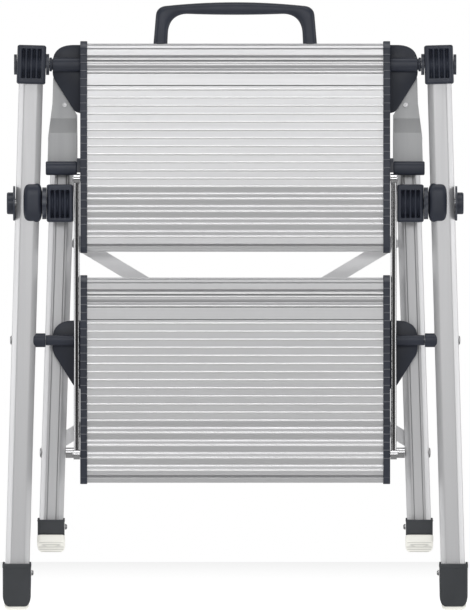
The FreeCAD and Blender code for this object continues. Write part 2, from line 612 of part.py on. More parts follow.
# ---------------------------------------------------------------- treads
def tread_panel(name, axle_z, rear, depth):
    """A hollow extruded panel with a ribbed walking face, its rear edge uppermost."""
    top = "(%s + %s)" % (axle_z, rear)
    wide = ("-panel_half", "panel_half")

    def strip_box(label, start, width, low, high):
        lower = "%s - (%s) - (%s)" % (top, start, width)
        return block("%s_%s" % (name, label), wide, (low, high), (lower, "%s - (%s)" % (top, start)))

    slab = prism(
        name + "_slab", "YZ",
        [("-panel_front", "%s - (%s)" % (top, depth)), ("panel_back", "%s - (%s)" % (top, depth)),
         ("panel_back", top), ("-panel_front", top)],
        "-panel_half", "panel_half", {0: "7", 1: "5", 2: "4", 3: "2.5"})
    solids = [slab]
    for number in range(13):
        solids.append(strip_box(
            "rib_%d" % number, "rib_first + %d * rib_pitch" % number, "rib_width",
            "-panel_front - rib_rise", "-panel_front + 1"))
    grooves = []
    lines = (("12.3", "2.9"), ("17.7", "1.2"), ("30.4", "1.1"), ("43.3", "1.1"))
    for number, (start, width) in enumerate(lines):
        grooves.append(strip_box("rear_groove_%d" % number, start, width,
                                 "-panel_front - 2", "-panel_front + groove_deep * 0.7"))
    for number in range(3):
        grooves.append(strip_box(
            "nosing_groove_%d" % number, "nosing_first + %d * nosing_pitch" % number, "nosing_groove",
            "-panel_front - 2", "-panel_front + groove_deep"))
    grooves.append(strip_box(
        "lip_line", "%s - 21.5" % depth, "1.0", "-panel_front - 2", "-panel_front + 0.6"))
    grooves.append(strip_box(
        "lip_groove", "%s - 8.4" % depth, "3.4", "-panel_front - 2", "-panel_front + groove_deep"))
    rooms = []
    for number in range(5):
        step = "((%s - 24) / 5)" % depth
        rooms.append(block(
            "%s_room_%d" % (name, number), ("-panel_half - 1", "panel_half + 1"),
            ("-panel_front + groove_deep + panel_wall", "panel_back - panel_wall"),
            ("%s - 8 - %s * %d + panel_wall" % (top, step, number + 1),
             "%s - 8 - %s * %d" % (top, step, number))))
    return cut(name, join(name + "_ribbed", *solids), *(grooves + rooms))


def side_cap(name, axle_z, rear, depth, bore):
    """A tread's plastic side cap with the wing that stiffens its axle, right-hand side."""
    top = "(%s + %s)" % (axle_z, rear)
    out = "cap_out"
    plate = prism(
        name + "_plate", "YZ",
        [("-cap_front", "%s - (%s) - cap_over_nose" % (top, depth)),
         ("cap_back", "%s - (%s) - cap_over_nose" % (top, depth)),
         ("cap_back", top + " + cap_over_rear"), ("-cap_front", top + " + cap_over_rear")],
        "panel_half", out, {0: "8", 1: "5", 2: "4", 3: "3"})
    wing = prism(
        name + "_wing", "XZ",
        [(out + " - 1", axle_z + " + wing_up"), (out + " - 1", axle_z + " - wing_down"),
         (out + " + 1", axle_z + " - wing_down"), (out + " + wing_tip", axle_z + " - wing_down + 3.2"),
         (out + " + wing_reach", axle_z + " - wing_side"), (out + " + wing_reach", axle_z + " + wing_up")],
        "wing_front", "wing_front + wing_thick", {5: "12"})
    hole = round_bar(name + "_bore", bore, ("panel_half - 1", out + " + 1"), "0", axle_z)
    return cut(name, join(name + "_solid", plate, wing), hole)


BORE = "pin_radius + run_gap"
top_panel = tread_panel("top_panel_plain", "axle_height", "top_rear", "panel_depth")
top_cap = side_cap("top_cap", "axle_height", "top_rear", "panel_depth", BORE)
keep(tread_panel("lower_panel", LOWER_Z, "lower_rear", "lower_panel_depth"))
lower_cap = side_cap("lower_cap", LOWER_Z, "lower_rear", "lower_panel_depth", BORE)

sleeve = round_bar(
    "top_sleeve_solid", "sleeve_radius",
    ("cap_out", "front_half - head_width / 2 - disc_thick - 0.3 - face_gap"), "0", "axle_height")
sleeve_bore = round_bar("top_sleeve_bore", BORE, ("cap_out - 1", "front_half"), "0", "axle_height")
both("top_axle_sleeves", cut("top_axle_sleeve", sleeve, sleeve_bore))
tube = round_bar(
    "lower_tube_solid", "tube_radius", ("cap_out", "lower_sleeve_inner - face_gap"), "0", LOWER_Z)
tube_bore = round_bar("lower_tube_bore", BORE, ("cap_out - 1", "lower_sleeve_inner + 1"), "0", LOWER_Z)
both("lower_axle_tubes", cut("lower_axle_tube", tube, tube_bore))

# side arm of the top tread: a pressed channel over the rear leg's top, with guide slots
ARM_Z = "(axle_height - arm_drop)"
ARM_FOOT = ARM_Z + " - sleeve_radius + 0.5"
ARM_TOP = ARM_Z + " + arm_rise"
ARM_NARROW = "(arm_outer - 5.4)"


def arm_outline(name, inset, low, high, extra="0"):
    """The arm's tapered front outline, drawn in by its wall, between two depths."""
    return prism(
        name, "XZ",
        [("arm_inner + %s" % inset, ARM_FOOT + " - " + extra),
         ("arm_outer - %s" % inset, ARM_FOOT + " - " + extra),
         ("arm_outer - 1.2 - %s" % inset, ARM_Z + " + 34.5"),
         (ARM_NARROW + " - %s" % inset, ARM_Z + " + 67.5"),
         (ARM_NARROW + " - 0.8 - %s" % inset, ARM_TOP + " + " + extra),
         ("arm_inner + 2.2 + %s" % inset, ARM_TOP + " + " + extra),
         ("arm_inner + 2.2 + %s" % inset, ARM_Z + " + 59.5"),
         ("arm_inner + %s" % inset, ARM_Z + " + 55.5")],
        low, high)


ARM_BACK = "(wing_front + arm_depth)"
STEPPED = "(wing_front + arm_step)"
arm_full = arm_outline("arm_full", "0", "wing_front", ARM_BACK)
arm_hollow = arm_outline("arm_hollow", "arm_wall", "wing_front - 1", ARM_BACK + " + 1", "2")
# seen from the side: deep walls with a lobe behind, narrowing to the fixing behind the wing
arm_side = prism(
    "arm_side", "YZ",
    [("wing_front", ARM_FOOT), ("wing_front + 6", ARM_FOOT), ("wing_front + 14", ARM_Z + " + 4"),
     (ARM_BACK + " - 9", ARM_Z + " + 6"), (ARM_BACK, ARM_Z + " + 13"), (ARM_BACK, ARM_Z + " + 30"),
     (ARM_BACK + " - 17", ARM_Z + " + 50"), (STEPPED + " + 10", ARM_Z + " + 67.5"),
     (STEPPED + " + 8", ARM_TOP), (STEPPED, ARM_TOP), (STEPPED, ARM_Z + " + 52"),
     ("wing_front", ARM_Z + " + 37")],
    "arm_inner - 1", "arm_outer + 1", {4: "5", 5: "8", 8: "3"})
# the web in front, stepping back where it passes behind the wing
arm_web = prism(
    "arm_web_plate", "YZ",
    [("wing_front", ARM_FOOT), ("wing_front + arm_web", ARM_FOOT),
     ("wing_front + arm_web", ARM_Z + " + 37.6"), (STEPPED + " + arm_web", ARM_Z + " + 52.6"),
     (STEPPED + " + arm_web", ARM_TOP), (STEPPED, ARM_TOP),
     (STEPPED, ARM_Z + " + 52"), ("wing_front", ARM_Z + " + 37")],
    "arm_inner - 1", "arm_outer + 1")
arm_channel = join(
    "arm_channel",
    common("arm_walls_side", cut("arm_walls", arm_full, arm_hollow), arm_side),
    common("arm_web_part", arm_full, arm_web))
# the guide slot follows the guide pin while the ladder opens, step by step
slot_cuts = []
for number in range(SLOT_STEPS + 1):
    tread_turn = "(open_turn * %d / %d * 1deg)" % (number, SLOT_STEPS)
    rear_turn = "(rear_turn * %d / %d * 1deg)" % (number, SLOT_STEPS)
    pin_back = "(rear_back * cos(%s) - rear_top_rise * sin(%s))" % (rear_turn, rear_turn)
    pin_down = "(centre_drop - rear_back * sin(%s) - rear_top_rise * cos(%s))" % (rear_turn, rear_turn)
    back = "(%s * cos(%s) + %s * sin(%s))" % (pin_back, tread_turn, pin_down, tread_turn)
    down = "(%s * cos(%s) - %s * sin(%s))" % (pin_down, tread_turn, pin_back, tread_turn)
    slot_cuts.append(round_bar(
        "guide_slot_%02d" % number, "guide_radius + guide_gap", ("arm_inner - 2", "arm_outer + 2"),
        back, "axle_height - " + down))
arm_screws = []
for drop in ("25", "42"):
    shank = turned("arm_screw_shank", "screw_radius", "wing_front + 2", STEPPED + " + arm_web + 1",
                   "arm_inner + 13", "axle_height - " + drop)
    head = turned("arm_screw_head", "screw_radius * 1.9", STEPPED + " + arm_web + 0.05",
                  STEPPED + " + arm_web + 2", "arm_inner + 13", "axle_height - " + drop)
    arm_screws.append(join("arm_screw", shank, head))
both("arm_screws", group("arm_screws_right", *arm_screws))
pair("side_arm", cut("side_arm", arm_channel, *(slot_cuts + arm_screws)))

# screws that hold the side caps on the panels
caps = {"top": ("axle_height", "top_rear", "panel_depth", top_cap, arm_screws),
        "lower": (LOWER_Z, "lower_rear", "lower_panel_depth", lower_cap, [])}
for label, (axle_z, rear, depth, cap, more) in caps.items():
    screws = []
    for share in ("0.04", "0.5", "0.93"):
        z = "%s + %s - %s * %s" % (axle_z, rear, share, depth)
        shank = round_bar(label + "_cap_shank", "1.8", ("panel_half + 0.2", "cap_out - 1"), "0", z)
        head = round_bar(label + "_cap_head", "3.4", ("cap_out - 1.5", "cap_out"), "0", z)
        screws.append(join(label + "_cap_screw", shank, head))
    both(label + "_cap_screws", group(label + "_cap_screws_right", *screws))
    pair(label + "_side_cap", cut(label + "_side_cap", cap, *(screws + more)))

# plastic knuckle below the arm, held to the side cap by a block
knuckle = new("Part::Fillet", "knuckle")
knuckle.Base = round_bar("knuckle_solid", "sleeve_radius", ("knuckle_inner", "knuckle_outer"), "0", ARM_Z)
doc.recompute()
KNUCKLE_ROUND = 2.2
knuckle.Edges = [
    (number, KNUCKLE_ROUND, KNUCKLE_ROUND) for number, edge in enumerate(knuckle.Base.Shape.Edges, start=1)
    if len(edge.Vertexes) == 1]
both("arm_knuckles", knuckle)
both("arm_blocks", block(
    "arm_block", ("cap_out", "knuckle_inner"), ("-6.4", "wing_front + 6"),
    (ARM_Z + " - 4.4", ARM_Z + " + 10.4")))

# carrying handle on the top tread's rear edge
HANDLE_Z = "(axle_height + top_rear)"
HANDLE_INNER = "(handle_half - handle_foot)"
side_points = [
    (HANDLE_INNER, HANDLE_Z),
    ("handle_half", HANDLE_Z),
    ("(handle_half - handle_lean)", HANDLE_Z + " + handle_high - 5.4"),
    ("(handle_half * 0.24)", HANDLE_Z + " + handle_high"),
]
under = HANDLE_Z + " + handle_high - handle_grip"
handle_points = side_points + [("-" + across, up) for across, up in side_points[::-1]]
handle_points += [("-(%s - 1.6)" % HANDLE_INNER, under), ("(%s - 1.6)" % HANDLE_INNER, under)]
handle_body = prism(
    "handle_body", "XZ", handle_points, "-handle_depth / 2", "handle_depth / 2",
    {2: "9", 5: "9", 8: "handle_inside", 9: "handle_inside"}, "4")
handle_screws = []
for sign in ("-", ""):
    screw = new("Part::Cylinder", "handle_screw")
    bind(screw, "Radius", "screw_radius")
    bind(screw, "Height", "22")
    bind(screw, "Placement.Base.x", "%s(handle_half - handle_foot / 2)" % sign)
    bind(screw, "Placement.Base.z", HANDLE_Z + " - 7.5")
    handle_screws.append(screw)
keep(cut("handle", handle_body, *handle_screws))
keep(group("handle_screws", *handle_screws))
keep(cut("top_panel_drilled", top_panel, *handle_screws))
NODES[-1].Label = "top_panel"


# ---------------------------------------------------------------- link rods
def rod_pivot(name, axle_z):
    """The pin that a link rod's eye turns on, held in a tread's side cap."""
    return round_bar(name, "rod_pin_radius", ("cap_out", "rod_side + eye_half + 1.2"),
                     "-rod_front", "(%s) - rod_drop" % axle_z)


both("top_rod_pivots", rod_pivot("top_rod_pivot", "axle_height"))
both("lower_rod_pivots", rod_pivot("lower_rod_pivot", LOWER_Z))
eyes = []
eye_holes = []
for label, axle_z in (("top", "axle_height"), ("lower", LOWER_Z)):
    at = ("-rod_front", "(%s) - rod_drop" % axle_z)
    eyes.append(round_bar(
        "eye_" + label, "eye_radius", ("rod_side - eye_half", "rod_side + eye_half"), *at))
    eye_holes.append(round_bar("eye_hole_" + label, "rod_pin_radius + run_gap",
                               ("rod_side - 9", "rod_side + 9"), *at))
shank = new("Part::Cylinder", "rod_shank")
bind(shank, "Radius", "rod_radius")
bind(shank, "Height", "lower_drop - 2 * eye_radius + 2")
bind(shank, "Placement.Base.x", "rod_side")
bind(shank, "Placement.Base.y", "-rod_front")
bind(shank, "Placement.Base.z", LOWER_Z + " - rod_drop + eye_radius - 1")
pair("link_rod", cut("link_rod", join("link_rod_solid", shank, *eyes), *eye_holes))

# ---------------------------------------------------------------- check and write
# everything above is drawn about the front legs' plane; here it is centred front to back
LEG_PLANE = "(flange_radius - wing_front - arm_depth) / 2"
for node in NODES:
    if node.TypeId != "Part::Mirroring":
        bind(node, "Placement.Base.y", LEG_PLANE)
doc.recompute()
for item in doc.Objects:
    if "Invalid" in item.State or "Error" in item.State:
        raise SystemExit("failed object: %s %s" % (item.Label, item.State))
labels = set()
for node in NODES:
    shape = node.Shape
    if shape.isNull() or not shape.isValid() or not shape.Solids:
        raise SystemExit("bad shape: %s" % node.Label)
    if node.Label in labels:
        raise SystemExit("name used twice: %s" % node.Label)
    labels.add(node.Label)
    shape.exportStep("parts/%s.step" % node.Label)
print("nodes", len(NODES))
for node in NODES:
    box = node.Shape.BoundBox
    print("%-22s solids %d  x %.1f %.1f  y %.1f %.1f  z %.1f %.1f" % (
        node.Label, len(node.Shape.Solids), box.XMin, box.XMax, box.YMin, box.YMax, box.ZMin, box.ZMax))
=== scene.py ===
# %% [markdown]
# A two-step folding ladder, seen folded and from the front.
# The CAD model gives every part its place and size, so the lesson starts by loading it.
# What Blender adds is the soft edges, the ribs and grooves, and the finish of each material.

# %% Load the frame
import json

import bpy
import numpy as np
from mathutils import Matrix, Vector

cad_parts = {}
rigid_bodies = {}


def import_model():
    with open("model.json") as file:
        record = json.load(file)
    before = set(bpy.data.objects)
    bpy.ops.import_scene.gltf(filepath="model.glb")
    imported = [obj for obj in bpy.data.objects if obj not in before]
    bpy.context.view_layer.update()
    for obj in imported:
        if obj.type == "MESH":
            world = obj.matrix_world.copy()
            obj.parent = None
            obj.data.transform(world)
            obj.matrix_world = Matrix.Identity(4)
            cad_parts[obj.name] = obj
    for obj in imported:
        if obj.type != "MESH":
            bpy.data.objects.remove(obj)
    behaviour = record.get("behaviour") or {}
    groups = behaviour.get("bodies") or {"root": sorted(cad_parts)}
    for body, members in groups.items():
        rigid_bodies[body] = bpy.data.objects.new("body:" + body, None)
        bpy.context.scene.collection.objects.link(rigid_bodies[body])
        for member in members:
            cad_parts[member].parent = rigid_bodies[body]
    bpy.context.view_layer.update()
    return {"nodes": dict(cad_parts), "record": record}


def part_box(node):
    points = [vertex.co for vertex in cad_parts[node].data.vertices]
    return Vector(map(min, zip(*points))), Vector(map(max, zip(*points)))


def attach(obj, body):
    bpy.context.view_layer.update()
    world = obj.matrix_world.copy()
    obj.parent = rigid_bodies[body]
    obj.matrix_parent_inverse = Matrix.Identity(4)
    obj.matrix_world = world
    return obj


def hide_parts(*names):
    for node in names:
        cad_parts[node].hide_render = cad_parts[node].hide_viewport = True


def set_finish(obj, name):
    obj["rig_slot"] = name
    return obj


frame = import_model()

MM = 0.001
nodes = frame["nodes"]
slot_of = {row["node"]: row["material_slot"] for row in frame["record"]["subparts"]}

# %% [markdown]
# Every new piece below is a surface worked out with numpy.
# A section is a closed loop of points, and stations carry it along a path, so the points
# form a grid of stations by loop. The helper turns such a grid into a mesh with closed ends.


# %% Grid to mesh
def grid_piece(name, grid, body, slot, stands_for=(), sharp=35.0, relief=None):
    """A closed mesh from an array of stations x loop points x 3.

    Each quad joins point (i, j) to (i, j+1), (i+1, j+1) and (i+1, j), with j wrapping round,
    and the first and last loops are closed by one flat face each.
    """
    stations, around = grid.shape[:2]
    index = np.arange(stations * around).reshape(stations, around)
    after = np.roll(index, -1, axis=1)
    quads = np.stack([index[:-1], after[:-1], after[1:], index[1:]], axis=-1).reshape(-1, 4)
    mesh = bpy.data.meshes.new(name)
    faces = quads.tolist() + [index[0][::-1].tolist(), index[-1].tolist()]
    mesh.from_pydata(grid.reshape(-1, 3).tolist(), [], faces)
    mesh.update()
    points = grid.reshape(-1, 3)
    corner = points[quads]
    normal = np.cross(corner[:, 2] - corner[:, 0], corner[:, 3] - corner[:, 1])
    outward = corner.mean(axis=1) - grid.mean(axis=1).repeat(around, axis=0)[: len(quads)]
    if (normal * outward).sum() < 0:
        mesh.flip_normals()
    mesh.shade_smooth()
    mesh.set_sharp_from_angle(angle=np.radians(sharp))
    # The relief attribute is what the materials use to paint shade into grooves and highlights onto ribs.
    if relief is not None:
        layer = mesh.attributes.new("relief", "FLOAT", "POINT")
        layer.data.foreach_set("value", np.broadcast_to(relief, grid.shape[:2]).ravel())
    piece = bpy.data.objects.new(name, mesh)
    bpy.context.scene.collection.objects.link(piece)
    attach(piece, body)
    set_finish(piece, slot)
    if stands_for:
        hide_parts(*stands_for)
    return piece


print("parts in the frame:", len(nodes))

# %% [markdown]
# Hardly a corner on the ladder is sharp, so outlines are given by their corners and softened.
# An arc needs a centre for every corner. A quadratic curve needs only the corner and a point
# on each side of it, and at this size the two look the same.


# %% Rounded outlines and the two sides
def soft_loop(corners, radii, per_corner=6):
    """A closed loop with rounded corners.

    Each corner C becomes the curve (1-t)^2 A + 2t(1-t) C + t^2 B, where A and B lie on the
    two sides. A radius is one distance from C, or a pair: towards the last and the next corner.
    """
    corner = np.asarray(corners, float)
    radius = np.asarray(radii, float)
    if radius.ndim < 2:
        radius = np.broadcast_to(radius.reshape(-1, 1), (len(corner), 2))
    to_last = np.roll(corner, 1, axis=0) - corner
    to_next = np.roll(corner, -1, axis=0) - corner
    first = corner + to_last / np.linalg.norm(to_last, axis=1, keepdims=True) * radius[:, :1]
    last = corner + to_next / np.linalg.norm(to_next, axis=1, keepdims=True) * radius[:, 1:]
    t = np.linspace(0, 1, per_corner)[None, :, None]
    middle = 2 * t * (1 - t) * corner[:, None]
    curve = (1 - t) ** 2 * first[:, None] + middle + t ** 2 * last[:, None]
    return curve.reshape(-1, 2)


def mirrored(grid):
    """The same grid on the left-hand side: x changes sign."""
    return grid * np.array([-1.0, 1.0, 1.0])


SIDES = (("right", 1), ("left", -1))


def sided(grid, sign):
    """The grid as it is for the right-hand side, and mirrored for the left."""
    return grid if sign > 0 else mirrored(grid)


print("helpers ready: a rounded square has", len(soft_loop([(0, 0), (1, 0), (1, 1), (0, 1)], 0.2)), "points")


# %% [markdown]
# The treads are wide aluminium extrusions, and their walking faces carry the pattern that
# one notices first: a lip, flat bands, thirteen fine ribs and three broad nosing grooves.
# An extrusion is one profile carried along a straight line, so the profile is drawn as
# depth against distance from the rear edge and then carried across the ladder's width.


# %% Tread profile
def bump(distance, start, width, rise):
    """A smooth rib or groove: rise x (1 - u^2)^1.5 where u runs from -1 to 1 across its width."""
    u = (distance - start - width / 2) / (width / 2)
    return rise * np.clip(1 - u ** 2, 0, None) ** 1.5


def round_off(distance, length, near, far):
    """How far a face draws back at its two ends: r - sqrt(r^2 - (r-d)^2) within r of an end."""
    back = np.zeros_like(distance)
    for gap, radius in ((distance, near), (length - distance, far)):
        inside = np.clip(radius - gap, 0, radius)
        back += radius - np.sqrt(radius ** 2 - inside ** 2)
    return back


RIB_RISE = 0.9
FINE_RIBS = 46.6 + 8.42 * np.arange(13)
NOSING_RIBS = 160.6 + 13.05 * np.arange(4)
NOSING_FLUTES = 149.8 + 13.05 * np.arange(4)
REAR_LINES = (
    (0.9, 1.3, -0.9), (4.7, 1.5, -0.9), (11.8, 3.6, -1.3), (17.2, 1.4, -1.2),
    (22.4, 6.4, -0.7), (30.0, 1.4, -1.1), (43.1, 1.4, -1.1),
)
REAR_RIBS = (15.3, 18.8, 28.7)
LIP_LINE = 8.4


def walking_face(distance, depth):
    """Height of the walking face above its plane, in millimetres, at a distance from the rear:
    a sum of bumps. Also the part of it that paints shade into grooves and highlights onto ribs:
    all but the broad flutes."""
    height = np.zeros_like(distance)
    for start, width, rise in REAR_LINES:
        height += bump(distance, start, width, rise)
    height += bump(distance, depth - LIP_LINE, 3.4, -1.6)
    for start in (*FINE_RIBS, *NOSING_RIBS, *REAR_RIBS):
        height += bump(distance, start, 2.1, RIB_RISE)
    flutes = sum(bump(distance, start, 10.6, -1.2) for start in NOSING_FLUTES)
    return height + flutes, height


print("fine ribs:", len(FINE_RIBS), "and nosing ribs:", len(NOSING_RIBS))

# %% [markdown]
# The pattern is one side of a closed profile: ribbed front, plain back, rounded at both ends.
# A curve with a bevel object could carry it too, but a grid keeps each rib's points where they
# were worked out, and lets every point carry the painted shade of its groove and the painted highlight of
# its rib.


# %% Tread extrusions
def extrusion(low, high, relief, face_back, front_ends, back_ends, edge=0.0, step=0.16):
    """A closed profile in y and z, carried from low x to high x.

    The front side is relief(distance, depth) proud of its plane, and both sides round off at
    their ends. With an edge, the end stations draw in by it, as a moulded part's rim does.
    Returns the grid and the tone of each loop point, which paints shade into grooves and highlights onto
    ribs.
    """
    depth = (high[2] - low[2]) / MM
    ends = 7.0 * (1 - np.cos(np.linspace(0, np.pi / 2, 10)))
    d = np.unique(np.concatenate([np.arange(0, depth, step), ends, depth - ends]))
    # tone is the part of the relief that paints shade into grooves and highlights onto ribs.
    rise, tone = relief(d, depth)
    front = low[1] / MM + face_back - rise + round_off(d, depth, *front_ends)
    coarse = np.unique(np.concatenate([np.linspace(0, depth, 60), ends, depth - ends]))
    back = high[1] / MM - round_off(coarse, depth, *back_ends)
    y = np.concatenate([front, back[::-1]]) * MM
    z = high[2] - np.concatenate([d, coarse[::-1]]) * MM
    x = np.linspace(low[0], high[0], 3)
    inset = np.zeros(3)
    if edge:
        steps = edge * np.array([0, 0.3, 1])
        x = np.concatenate([low[0] + steps, high[0] - steps[::-1]])
        inset = edge * np.array([1, 0.3, 0, 0, 0.3, 1])
    middle_y, middle_z = (low[1] + high[1]) / 2, (low[2] + high[2]) / 2
    grid = np.empty((len(x), len(y), 3))
    grid[..., 0] = x[:, None]
    grid[..., 1] = middle_y + (y - middle_y) * (1 - inset[:, None] * 2 / (high[1] - low[1]))
    grid[..., 2] = middle_z + (z - middle_z) * (1 - inset[:, None] * 2 / (high[2] - low[2]))
    return grid, np.concatenate([tone, np.zeros(len(coarse))])


for which in ("top", "lower"):
    low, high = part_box(which + "_panel")
    grid, rise = extrusion(low, high, walking_face, RIB_RISE, (2.5, 7.0), (4.0, 5.0))
    grid_piece(which + "_tread", grid, which + "_tread", "treads", [which + "_panel"], 28, rise)
    print(which, "tread profile points:", grid.shape[1])

# %% [markdown]
# A moulded cap closes each end of a tread. Its front edge carries a small tooth in line with
# every rib, and beside the axle a wing stands out from it, with one large rounded corner.
# The cap is a profile carried across its thickness, and the wing is an outline carried
# through its own.


# %% Side caps with wings
def teeth(distance, depth):
    """A tooth in line with each fine rib, and a lug at the rear end."""
    height = bump(distance, 0.5, 8.0, 0.5)
    for start in 13.0 + 8.42 * np.arange(22):
        height += bump(distance, start, 1.7, 0.6)
    # The second height paints the teeth and the lug paler: a painted highlight.
    return height, height


def plate_grid(loop, y_low, y_high, edge):
    """An outline in x and z, carried along y, drawn in by the edge at both faces."""
    steps = edge * np.array([0, 0.3, 1])
    y = np.concatenate([y_low + steps, y_high - steps[::-1]])
    inset = edge * np.array([1, 0.3, 0, 0, 0.3, 1])
    middle = loop.mean(axis=0)
    half = np.abs(loop - middle).max(axis=0)
    grid = np.empty((len(y), len(loop), 3))
    scale = 1 - inset[:, None, None] / half
    drawn = middle + (loop - middle) * scale
    grid[..., 0] = drawn[..., 0]
    grid[..., 1] = y[:, None]
    grid[..., 2] = drawn[..., 1]
    return grid


AXLE_Z = {"top": 568 * MM, "lower": 281 * MM}
CAP_THICK = 7.2 * MM
WING_Y = (-10.25 * MM, -5.25 * MM)
WING_SOFTNESS = np.array([(0.5, 0.5), (0.5, 0.5), (3, 5), (5, 4), (19, 22)]) * MM
for which in ("top", "lower"):
    low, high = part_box(which + "_side_cap_right")
    cap_out = low[0] + CAP_THICK
    plate_high = (cap_out, high[1], high[2])
    plate, rise = extrusion(low, plate_high, teeth, 0.6, (3.0, 6.5), (2.5, 5.0), 0.5 * MM, 0.2)
    axle = AXLE_Z[which]
    wing_reach = high[0]
    corners = [
        (cap_out - 1 * MM, axle + 20.5 * MM), (cap_out - 1 * MM, axle - 51 * MM),
        (cap_out + 6 * MM, axle - 49 * MM), (wing_reach, axle - 12.5 * MM),
        (wing_reach, axle + 20.5 * MM),
    ]
    wing = plate_grid(soft_loop(corners, WING_SOFTNESS, 12), *WING_Y, 0.8 * MM)
    body = which + "_tread"
    for side, sign in SIDES:
        node = which + "_side_cap_" + side
        grid_piece(which + "_cap_plate_" + side, sided(plate, sign), body, "plastic", [node], 30, rise)
        grid_piece(which + "_cap_wing_" + side, sided(wing, sign), body, "plastic", [], 40)
    print(which, "cap reaches out to", round(wing_reach / MM, 1), "mm from the middle")

# %% [markdown]
# The legs are thick-walled tubes with broad bevels, drawn from one die, so all four share one
# section. The rear legs show fine lines pressed along their faces, the front ones don't.
# The section is a softened eight-cornered loop, carried along the leaning leg.


# %% Legs
LEG_HALF = np.array([12.5, 10.0]) * MM
LEG_BEVEL = 5.6 * MM


def leg_loop(line_depth):
    """An eight-cornered loop and its relief. With a line depth, each wide face carries two
    fine grooves of depth e^-(x/w)^2, one near each bevel."""
    w, d = LEG_HALF
    b = LEG_BEVEL
    corners = [
        (w - b, -d), (w, b - d), (w, d - b), (w - b, d),
        (b - w, d), (-w, d - b), (-w, b - d), (b - w, -d),
    ]
    loop = soft_loop(corners, 1.3 * MM, 5)
    if not line_depth:
        return loop, np.zeros(len(loop))
    out = []
    for face in (-1, 1):
        across = np.linspace(-1, 1, 81) * (w - b - 1.4 * MM)
        groove = sum(np.exp(-(((across / MM) - at) / 0.4) ** 2) for at in (-4.7, 4.7))
        out.append(np.stack([across, face * (d - line_depth * groove)], axis=1))
    front, back = out
    half = len(loop) // 2
    right_side = loop[:half][(loop[:half, 0] > w - b + 0.1 * MM)]
    left_side = loop[half:][(loop[half:, 0] < b - w - 0.1 * MM)]
    # The relief, -1.2 x groove, paints shade into the fine grooves.
    relief = [-1.2 * groove, np.zeros(len(right_side)), -1.2 * groove[::-1], np.zeros(len(left_side))]
    return np.concatenate([front, right_side, back[::-1], left_side]), np.concatenate(relief)


def leg_grid(node, loop):
    """The loop carried between the two ends of a leg whose box is known: the axis runs from
    (low x + half width) at the top to (high x - half width) at the bottom."""
    low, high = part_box(node)
    z = np.linspace(low[2], high[2], 24)
    share = (z - low[2]) / (high[2] - low[2])
    axis = (high[0] - LEG_HALF[0]) * (1 - share) + (low[0] + LEG_HALF[0]) * share
    y = (low[1] + high[1]) / 2
    grid = np.empty((len(z), len(loop), 3))
    grid[..., 0] = axis[:, None] + loop[:, 0]
    grid[..., 1] = y + loop[:, 1]
    grid[..., 2] = z[:, None]
    return grid


for which, line_depth in (("front", 0.0), ("rear", 0.5 * MM)):
    loop, lines = leg_loop(line_depth)
    grid = leg_grid(which + "_leg_right", loop)
    for side, sign in SIDES:
        node = which + "_leg_" + side
        name = which + "_tube_" + side
        grid_piece(name, sided(grid, sign), which + "_frame", "legs", [node], 35, lines)
    print(which, "leg section points:", len(loop))

# %% [markdown]
# Moulded plastic blocks sit on the legs: a head at each front leg's top and a clamp at each
# centre pivot. Each has four upright grooves between thin ribs, and a round barrel can be
# seen at the bottom of the grooves. A rounded block is a grid of angle by height; moving its
# front and back points inwards, by an amount that depends on x and z, cuts the grooves.


# %% Ribbed blocks
def smooth_step(value, edge, width):
    """0 below the edge and 1 above it, with the cubic 3t^2 - 2t^3 between."""
    t = np.clip((value - edge) / width + 0.5, 0, 1)
    return t * t * (3 - 2 * t)


def block_grid(centre, half, corner, pitch, tilt, groove_ends, barrel, least, both_faces, rows=72):
    """A rounded block with four grooves of depth ((1 + cos(2 pi x / p)) / 2)^1.1 between its fins.

    The section is a soft rectangle; near the top and bottom it shrinks by
    r - sqrt(r^2 - s^2). The floor of a groove stands sqrt(R^2 - z^2) from the middle, the
    barrel's own curve, and never less than the leg inside needs.
    """
    wide, deep, tall = half
    across = np.linspace(-1, 1, 130) * (wide - corner)
    front = np.stack([across, np.full_like(across, -deep)], axis=1)
    back = -front
    t = np.linspace(0, np.pi / 2, 8)[1:-1]
    turn = corner * np.stack([np.sin(t), 1 - np.cos(t)], axis=1)
    right_low = np.array([wide - corner, -deep]) + turn
    bend = np.stack([-turn[:, 1], corner - turn[::-1, 1]], axis=1)
    right_high = np.array([wide, deep - corner]) + bend
    side = np.linspace(-1, 1, 14)[1:-1, None] * np.array([0, deep - corner]) + np.array([wide, 0])
    right = np.concatenate([right_low, side, right_high])
    loop = np.concatenate([front, right, back, -right])
    height = np.concatenate([[-tall], np.linspace(-tall + 0.02 * MM, tall - 0.02 * MM, rows), [tall]])
    edge = 2.0 * MM
    inside = np.clip(np.abs(height) - (tall - edge), 0, edge)
    shrink = edge - np.sqrt(edge ** 2 - inside ** 2)
    x = loop[None, :, 0] * (1 - shrink / wide)[:, None]
    y = loop[None, :, 1] * (1 - shrink / deep)[:, None]
    z = np.broadcast_to(height[:, None], x.shape)
    turns = x / pitch - 0.5
    slots = (0.5 + 0.5 * np.cos(2 * np.pi * turns)) ** 1.1 * (np.abs(x) < 2 * pitch)
    low_end, high_end = groove_ends
    along = smooth_step(z, low_end, 1.2 * MM) * smooth_step(-z, -high_end, 1.2 * MM)
    floor = np.sqrt(np.clip(barrel ** 2 - z ** 2, least ** 2, None))
    sink = slots * along
    face = np.abs(loop[None, :, 1]) > deep - 0.2 * MM
    toward_front = face & (loop[None, :, 1] < 0)
    toward_back = face & (loop[None, :, 1] > 0) & both_faces
    floor = np.maximum(floor, 0.25 * deep)
    y = np.where(toward_front, y * (1 - sink) - floor * sink, y)
    y = np.where(toward_back, y * (1 - sink) + floor * sink, y)
    grid = np.stack([x, y, z], axis=-1)
    slope = np.radians(tilt)
    turned = grid.copy()
    turned[..., 0] = grid[..., 0] * np.cos(slope) - grid[..., 2] * np.sin(slope)
    turned[..., 2] = grid[..., 0] * np.sin(slope) + grid[..., 2] * np.cos(slope)
    return turned + np.asarray(centre)


